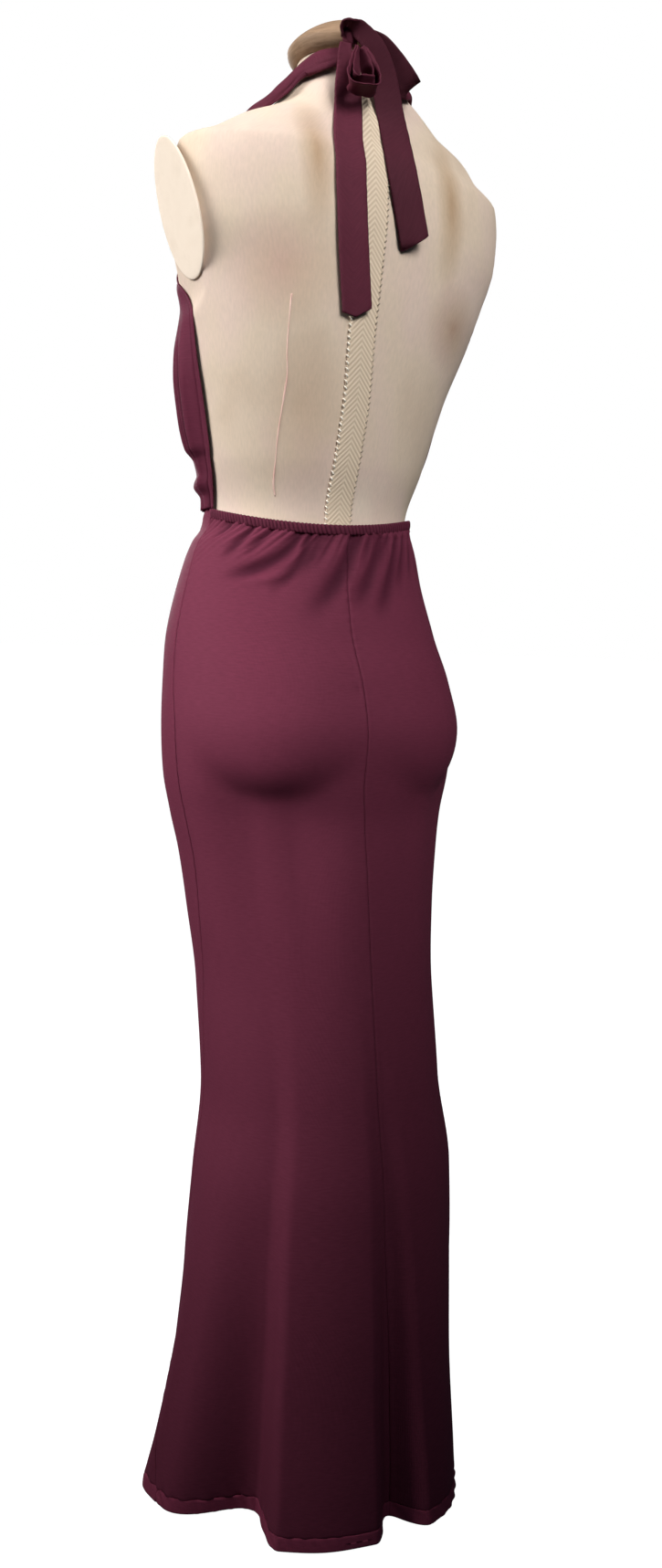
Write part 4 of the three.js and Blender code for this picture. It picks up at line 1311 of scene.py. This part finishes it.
def bodicePanel(name, node, side, phase):
    # long folds fall from the strap and die away, and short gathers rise from the waist seam
    level = np.linspace(skirt["waistLevel"] + gap, bodice["top"], bodice["rows"])[:, None]
    share = gatheredEnds(bodice["columns"], 0.5)[None, :]
    points = bodiceBase(share, level, side)
    near = np.clip(1 - (bodice["top"] - level) / bodice["strapFoldReach"], 0, 1) ** 0.8
    inside = softStep(share * 9) * softStep((1 - share) * 9)
    falls = bodice["strapFoldHeight"] * strapWave(share, phase) * near * inside
    low = level - skirt["waistLevel"]
    gathers = np.sin(2 * np.pi * bodice["waistFolds"] * share + 2 * phase + low / 14)
    gathers = bodice["waistFoldHeight"] * gathers * np.exp(-low / bodice["waistFoldReach"])
    drape = sum(
        height
        * bell((share - middle) / breadth)
        * softStep((level - foot) / 25)
        * softStep((top - level) / 60)
        for middle, breadth, height, foot, top in bodiceFolds
    )
    width = np.linalg.norm(np.diff(points, axis=1), axis=-1).sum(axis=1)[:, None]
    folds = falls + gathers + drape
    out = folds + edgeStitching(share * width) + edgeStitching((1 - share) * width)
    # painted shade: the hollows of the folds are darkened in colour
    creaseShade = np.clip(-folds / bodice["creaseDepth"], 0, 1)
    moved = points + gridNormals(points) * out[..., None]
    uv = gridUv(share * width, level)
    if side < 0:
        # the right half is the left one mirrored about the form's own middle
        moved[..., 0] = 2 * read(torsoRings, "shiftX", level) - moved[..., 0]
        moved, uv, creaseShade = moved[:, ::-1], uv[:, ::-1], creaseShade[:, ::-1]
    piece = makeSurface(name, moved, uv, creaseShade=creaseShade)
    thicken(piece, bodice["wall"])
    return finishPiece(piece, burgundyBodiceShaded, "dress_jersey", node)


bodiceLeft = bodicePanel("bodiceLeft", "bodice_left", 1, 0.4)
bodiceRight = bodicePanel("bodiceRight", "bodice_right", -1, 1.7)
print("bodice ready")

strapPaths = {  # places, the strip's width and thickness, and the way its face looks
    "strapLeft": table(
        ("x", "y", "z", "width", "thick", "faceX", "faceY", "faceZ"),
        (82.5, -46.5, 1329.5, 34, 5, 0.2, -0.82, 0.54),
        (87, -30, 1353, 27, 7, 0.25, -0.78, 0.57),
        (92.5, -11.5, 1372.5, 22, 9, 0.38, -0.58, 0.72),
        (94.5, 6, 1381, 14, 7, 0.45, -0.27, 0.85),
        (94.5, 19, 1383.4, 12, 7, 0.47, -0.07, 0.88),
        (87, 33.5, 1388.4, 16, 8.5, 0.54, 0.09, 0.84),
        (77, 39.5, 1398.5, 25, 10, 0.73, 0.17, 0.66),
        (66, 39.5, 1409.5, 24, 10, 0.66, 0.17, 0.73),
        (55.5, 41, 1420, 25, 10, 0.78, 0.25, 0.57),
        (48.5, 49.5, 1425.5, 26, 10, 0.78, 0.42, 0.46),
        (40, 58.5, 1429, 24, 9, 0.71, 0.61, 0.36),
        (29.5, 66, 1432, 19, 7, 0.56, 0.76, 0.32),
    ),
    "strapRight": table(
        ("x", "y", "z", "width", "thick", "faceX", "faceY", "faceZ"),
        (-99.5, -47, 1330.5, 34, 5, -0.2, -0.84, 0.51),
        (-99, -32.5, 1356.5, 27, 7, -0.24, -0.86, 0.45),
        (-95, -13.5, 1387.5, 22, 9, -0.41, -0.62, 0.67),
        (-88.5, 5, 1407.5, 20, 10, -0.56, -0.32, 0.77),
        (-78.5, 22, 1417, 20, 10, -0.52, -0.05, 0.85),
        (-69, 37.5, 1422.5, 20, 10, -0.59, 0.15, 0.79),
        (-61.5, 52, 1422.5, 15, 7, -0.56, 0.35, 0.75),
        (-51.5, 64, 1419.5, 13, 6, -0.49, 0.56, 0.67),
        (-40.5, 77.5, 1411, 13, 5, -0.3, 0.8, 0.52),
        (-26.5, 82, 1410, 15, 5, -0.16, 0.91, 0.38),
        (-8, 81.5, 1417.5, 15, 6, -0.01, 0.94, 0.33),
        (7.5, 77, 1424.5, 13, 5, 0.2, 0.92, 0.34),
    ),
}
strap = {
    "steps": 110,
    "sides": 64,
    "wall": 0.6,
    "length": 230,
    "opening": 14,
    "droop": 4.5,
    "droopAt": 0.34,
}


def pathFrame(path, share, face):
    # the place on a path, the direction across the strip and the one out of its face
    spot, before, after = (alongPath(path, ("x", "y", "z"), share + step) for step in (0, -0.004, 0.004))
    way = unit(after - before)
    across = unit(np.cross(face(share, way), way))
    return spot, across, np.cross(way, across)


def strapRoll(name, node, side, phase):
    # gathered cloth drawn into a soft roll: an oval section with creases that wind slowly along it
    path = strapPaths[name]
    share = np.linspace(0, 1, strap["steps"])[:, None]
    turn = np.linspace(0, 2 * np.pi, strap["sides"], endpoint=False)[None, :]
    faces = ("faceX", "faceY", "faceZ")
    spot, across, out = pathFrame(path, share, lambda place, way: alongPath(path, faces, place))
    half = alongPath(path, ("width", "thick"), share) / 2
    wind = 2.6 * share + phase
    folds = 1 - 0.15 * (1 - creaseLine(1.5 * turn + wind)) - 0.07 * (1 - creaseLine(2.5 * turn - 2 * wind))
    swell = folds * (1 + 0.04 * np.sin(17 * share + phase))
    wide = np.cos(turn) * half[..., 0] * swell
    thick = np.sin(turn) * half[..., 1] * swell
    droop = strap["droop"] * bell((share - strap["droopAt"]) / 0.2) * np.cos(turn) ** 2
    ring = spot + across * wide[..., None] + out * (thick - droop)[..., None]
    # the first ring is the bodice's top edge, so the roll opens out of the gathered panel
    edgeShare = 0.5 - 0.5 * side * np.cos(turn)
    edge = bodiceBase(edgeShare, bodice["top"] + 0 * turn, side, (np.sin(turn) - 1) * 0.55)
    if side < 0:
        edge[..., 0] = 2 * read(torsoRings, "shiftX", np.array(bodice["top"])) - edge[..., 0]
    edge[..., 2] = bodice["top"] + 3 * gap
    blend = softStep(np.linspace(0, 1, 9))[:-1, None, None]
    points = np.concatenate((between(edge, ring[:1], blend), ring))
    opening = np.linspace(-strap["opening"], 0, len(blend), endpoint=False)
    length = np.concatenate((opening, np.linspace(0, strap["length"], strap["steps"])))
    uv = gridUv(np.append(turn[0], 2 * np.pi) * 8, length[:, None])
    piece = makeSurface(name, points, uv, closed=True)
    thicken(piece, strap["wall"])
    return finishPiece(piece, burgundyTieShaded, "dress_jersey", node)


strapLeft = strapRoll("strapLeft", "strap_left", 1, 0.5)
strapRight = strapRoll("strapRight", "strap_right", -1, 2.0)

tiePaths = {  # places and the strip's width
    "tieTailLeft": table(
        ("x", "y", "z", "width"),
        (35, 84, 1435.5, 11),
        (35.5, 85, 1426.5, 15),
        (34, 85.5, 1417, 19),
        (33, 86, 1406, 23),
        (32.5, 87, 1395, 26),
        (31, 87, 1378.5, 28),
        (39, 101.5, 1347, 29),
        (41, 111, 1323.5, 30),
        (42, 115, 1303, 30),
        (39, 116.5, 1262.5, 30),
        (33, 114, 1224.5, 30),
        (28, 111.5, 1198.5, 30),
        (25.5, 110, 1186, 30),
    ),
    "tieTailRight": table(
        ("x", "y", "z", "width"),
        (35.5, 78, 1444, 9),
        (37.5, 82, 1449, 11),
        (36, 87, 1451.5, 13),
        (28.5, 90, 1449, 15),
        (19, 92, 1444, 18),
        (10.5, 93.5, 1436.5, 21),
        (3, 93.5, 1426, 23.5),
        (-3.5, 93, 1413, 25.5),
        (-8, 93, 1398.5, 27),
        (-12, 94.8, 1380.5, 28),
        (-13.5, 102.3, 1359, 29),
        (-13.5, 117, 1322.5, 30),
        (-26.5, 122, 1268, 30),
        (-31, 121, 1257.5, 30),
    ),
    "tieLoopHanging": table(
        ("x", "y", "z", "width"),
        (31, 97.5, 1428, 6),
        (35.5, 99, 1416.5, 12),
        (39.5, 101.5, 1402.5, 18),
        (40.5, 104, 1395, 20),
        (35, 104.5, 1392, 20),
        (25, 104.5, 1392.5, 20),
        (14.5, 104, 1395, 20),
        (11.5, 102.5, 1403, 19),
        (14.5, 100.5, 1414.5, 16),
        (20, 98, 1425, 10),
        (24.5, 96.5, 1429.5, 6),
    ),
    "tieLoopSide": table(
        ("x", "y", "z", "width"),
        (18.5, 83.5, 1449.5, 9),
        (8.5, 85, 1447.5, 13),
        (-2, 87.5, 1441.5, 18),
        (-12, 92, 1431, 21),
        (-21, 96, 1419, 23),
        (-28, 97.5, 1410.5, 24),
        (-32, 96, 1408, 24),
        (-31, 93.5, 1411, 24),
        (-24.5, 91.5, 1420, 23),
        (-15, 87.5, 1433.5, 21),
        (-5, 83.5, 1444.5, 18),
        (6, 81, 1449.5, 13),
        (16.5, 80, 1451.5, 9),
    ),
}
tie = {"thick": 2.2, "wall": 0.4, "edgePuff": 0.35, "innerFold": -0.55, "steps": 150, "sides": 44}


def foldedSection(count):
    # a strip folded in half along its length, seen end on: out along one leaf and back inside it, then the
    # same along the other; values are the place across, the leaf (1 or -1) and its outer or inner face
    corner = np.array([0, 0.24, 0.27, 0.47, 0.53, 0.73, 0.76, 1.0])
    t = np.linspace(0, 1, count, endpoint=False)
    inner = tie["innerFold"]
    across = np.interp(t, corner, [-1, 1, 1, inner, inner, 1, 1, -1])
    leaf = np.interp(t, corner, [1, 1, 1, 1, -1, -1, -1, -1])
    face = np.interp(t, corner, [1, 1, -1, -1, -1, -1, 1, 1])
    return across[::-1], leaf[::-1], face[::-1]


def tieStrip(name, node, face, shape):
    # a flat sewn tube, a thin section carried along its path: a tail's end is cut aslant, and a loop's
    # strip is folded in half along its length, open at the edge that faces backwards
    path = tiePaths[name]
    share = np.linspace(0, 1, tie["steps"])[:, None]
    length, thick = shape["length"], tie["thick"]
    if "open" in shape:
        aside, leaf, side = foldedSection(2 * tie["sides"])
        openSide = np.clip((aside - tie["innerFold"]) / (1 - tie["innerFold"]), 0, 1) ** 1.3
        gape = 0.06 + shape["open"] * openSide * bell((share - 0.5) / 0.3)
        height = leaf * (gape + thick / 4 + side * thick / 4)
        place = share + 0 * aside
    else:
        aside, through = flatSection(tie["sides"])
        cut = shape["cut"] * np.sqrt((aside - shape["tip"]) ** 2 + 0.004)
        place = share * (1 - cut / length)
        closing = np.sqrt(np.clip(1 - ((share - 0.985) / 0.015).clip(0, 1) ** 2, 0.02, 1))
        edge = 1 + tie["edgePuff"] * np.abs(aside) ** 5
        curl = shape["curl"] * (aside**2 - 0.4) * (0.6 + 0.4 * np.sin(place * length / 37))
        height = through * thick / 2 * closing * edge + curl
    spot, across, out = pathFrame(path, place, face)
    half = alongPath(path, ("width",), place)[..., 0] / 2
    height = height + 0.25 * np.sin(2 * np.pi * place * length / 9 + 2 * aside) * np.abs(aside) ** 3
    points = spot + across * (half * aside)[..., None] + out * height[..., None]
    if "open" in shape:
        # the two halves of a loop lie together along the edge that faces the neck, but not at its bottom
        upper = softStep((np.abs(share - 0.5) - 0.2) / 0.12)
        shut = (shape["shut"] * upper * (0.5 - 0.5 * aside) ** 0.8)[..., None]
        points = between(points, (points + points[::-1, ::-1]) / 2, shut)
    uvAcross = np.hstack((half * aside, (half * aside)[:, :1]))
    piece = makeSurface(name, points, gridUv(uvAcross, share * length), closed=True)
    if "cut" in shape:
        thicken(piece, tie["wall"])
    return finishPiece(piece, shape.get("cloth", burgundyTieShaded), "dress_jersey", node)


def breadthAlong(direction):
    # the face that leaves a strip's breadth in this direction
    return lambda share, way: np.cross(way, np.array(direction, float))


def hoodThenTail(share, way):
    # the right tail comes over the knot with its breadth backwards, then turns to lie along the back
    turned = softStep((share - 0.12) / 0.18)[..., None]
    return np.cross(way, between(np.array((0.5, 0.8, 0.1)), np.array((-0.95, 0.3, 0)), turned))


tailLeft = tieStrip(
    "tieTailLeft",
    "tie_tail_left",
    breadthAlong((-0.97, 0.25, 0)),
    {"length": 262, "cut": 13, "tip": -0.1, "curl": 0.5},
)
tailRight = tieStrip(
    "tieTailRight",
    "tie_tail_right",
    hoodThenTail,
    {"length": 235, "cut": 9, "tip": -0.75, "curl": -0.5, "cloth": burgundyTailShaded},
)
loopHanging = tieStrip(
    "tieLoopHanging",
    "tie_loop_hanging",
    breadthAlong((0.5, 0.8, 0.25)),
    {"length": 105, "open": 4.2, "shut": 0.92},
)
loopSide = tieStrip(
    "tieLoopSide",
    "tie_loop_side",
    breadthAlong((-0.35, 0.69, 0.6)),
    {"length": 140, "open": 1.0, "shut": 0, "cloth": burgundyFoldShaded},
)

knot = {"centre": (27, 79, 1445), "half": (8.5, 6, 9.5)}


def tieKnot():
    # a soft lump with creases that wind round it from top to bottom
    up = np.linspace(-0.985, 0.985, 60)[:, None]
    turn = np.linspace(0, 2 * np.pi, 84, endpoint=False)[None, :]
    ring = np.sqrt(1 - up * up)
    folds = 1 - 0.12 * (1 - creaseLine(2 * turn + 2.5 * up))
    folds = folds - 0.06 * (1 - creaseLine(3.5 * turn - 3 * up + 1))
    half = np.array(knot["half"])
    points = np.stack((ring * np.cos(turn) * folds, ring * np.sin(turn) * folds, up + 0 * turn), -1) * half
    uv = gridUv(np.append(turn[0], 2 * np.pi) * 10, up * 13)
    piece = makeSurface("tieKnot", points + np.array(knot["centre"], float), uv, closed=True)
    return finishPiece(piece, burgundyTieShaded, "dress_jersey", "tie_knot")


knotPiece = tieKnot()
print("straps and bow ready")
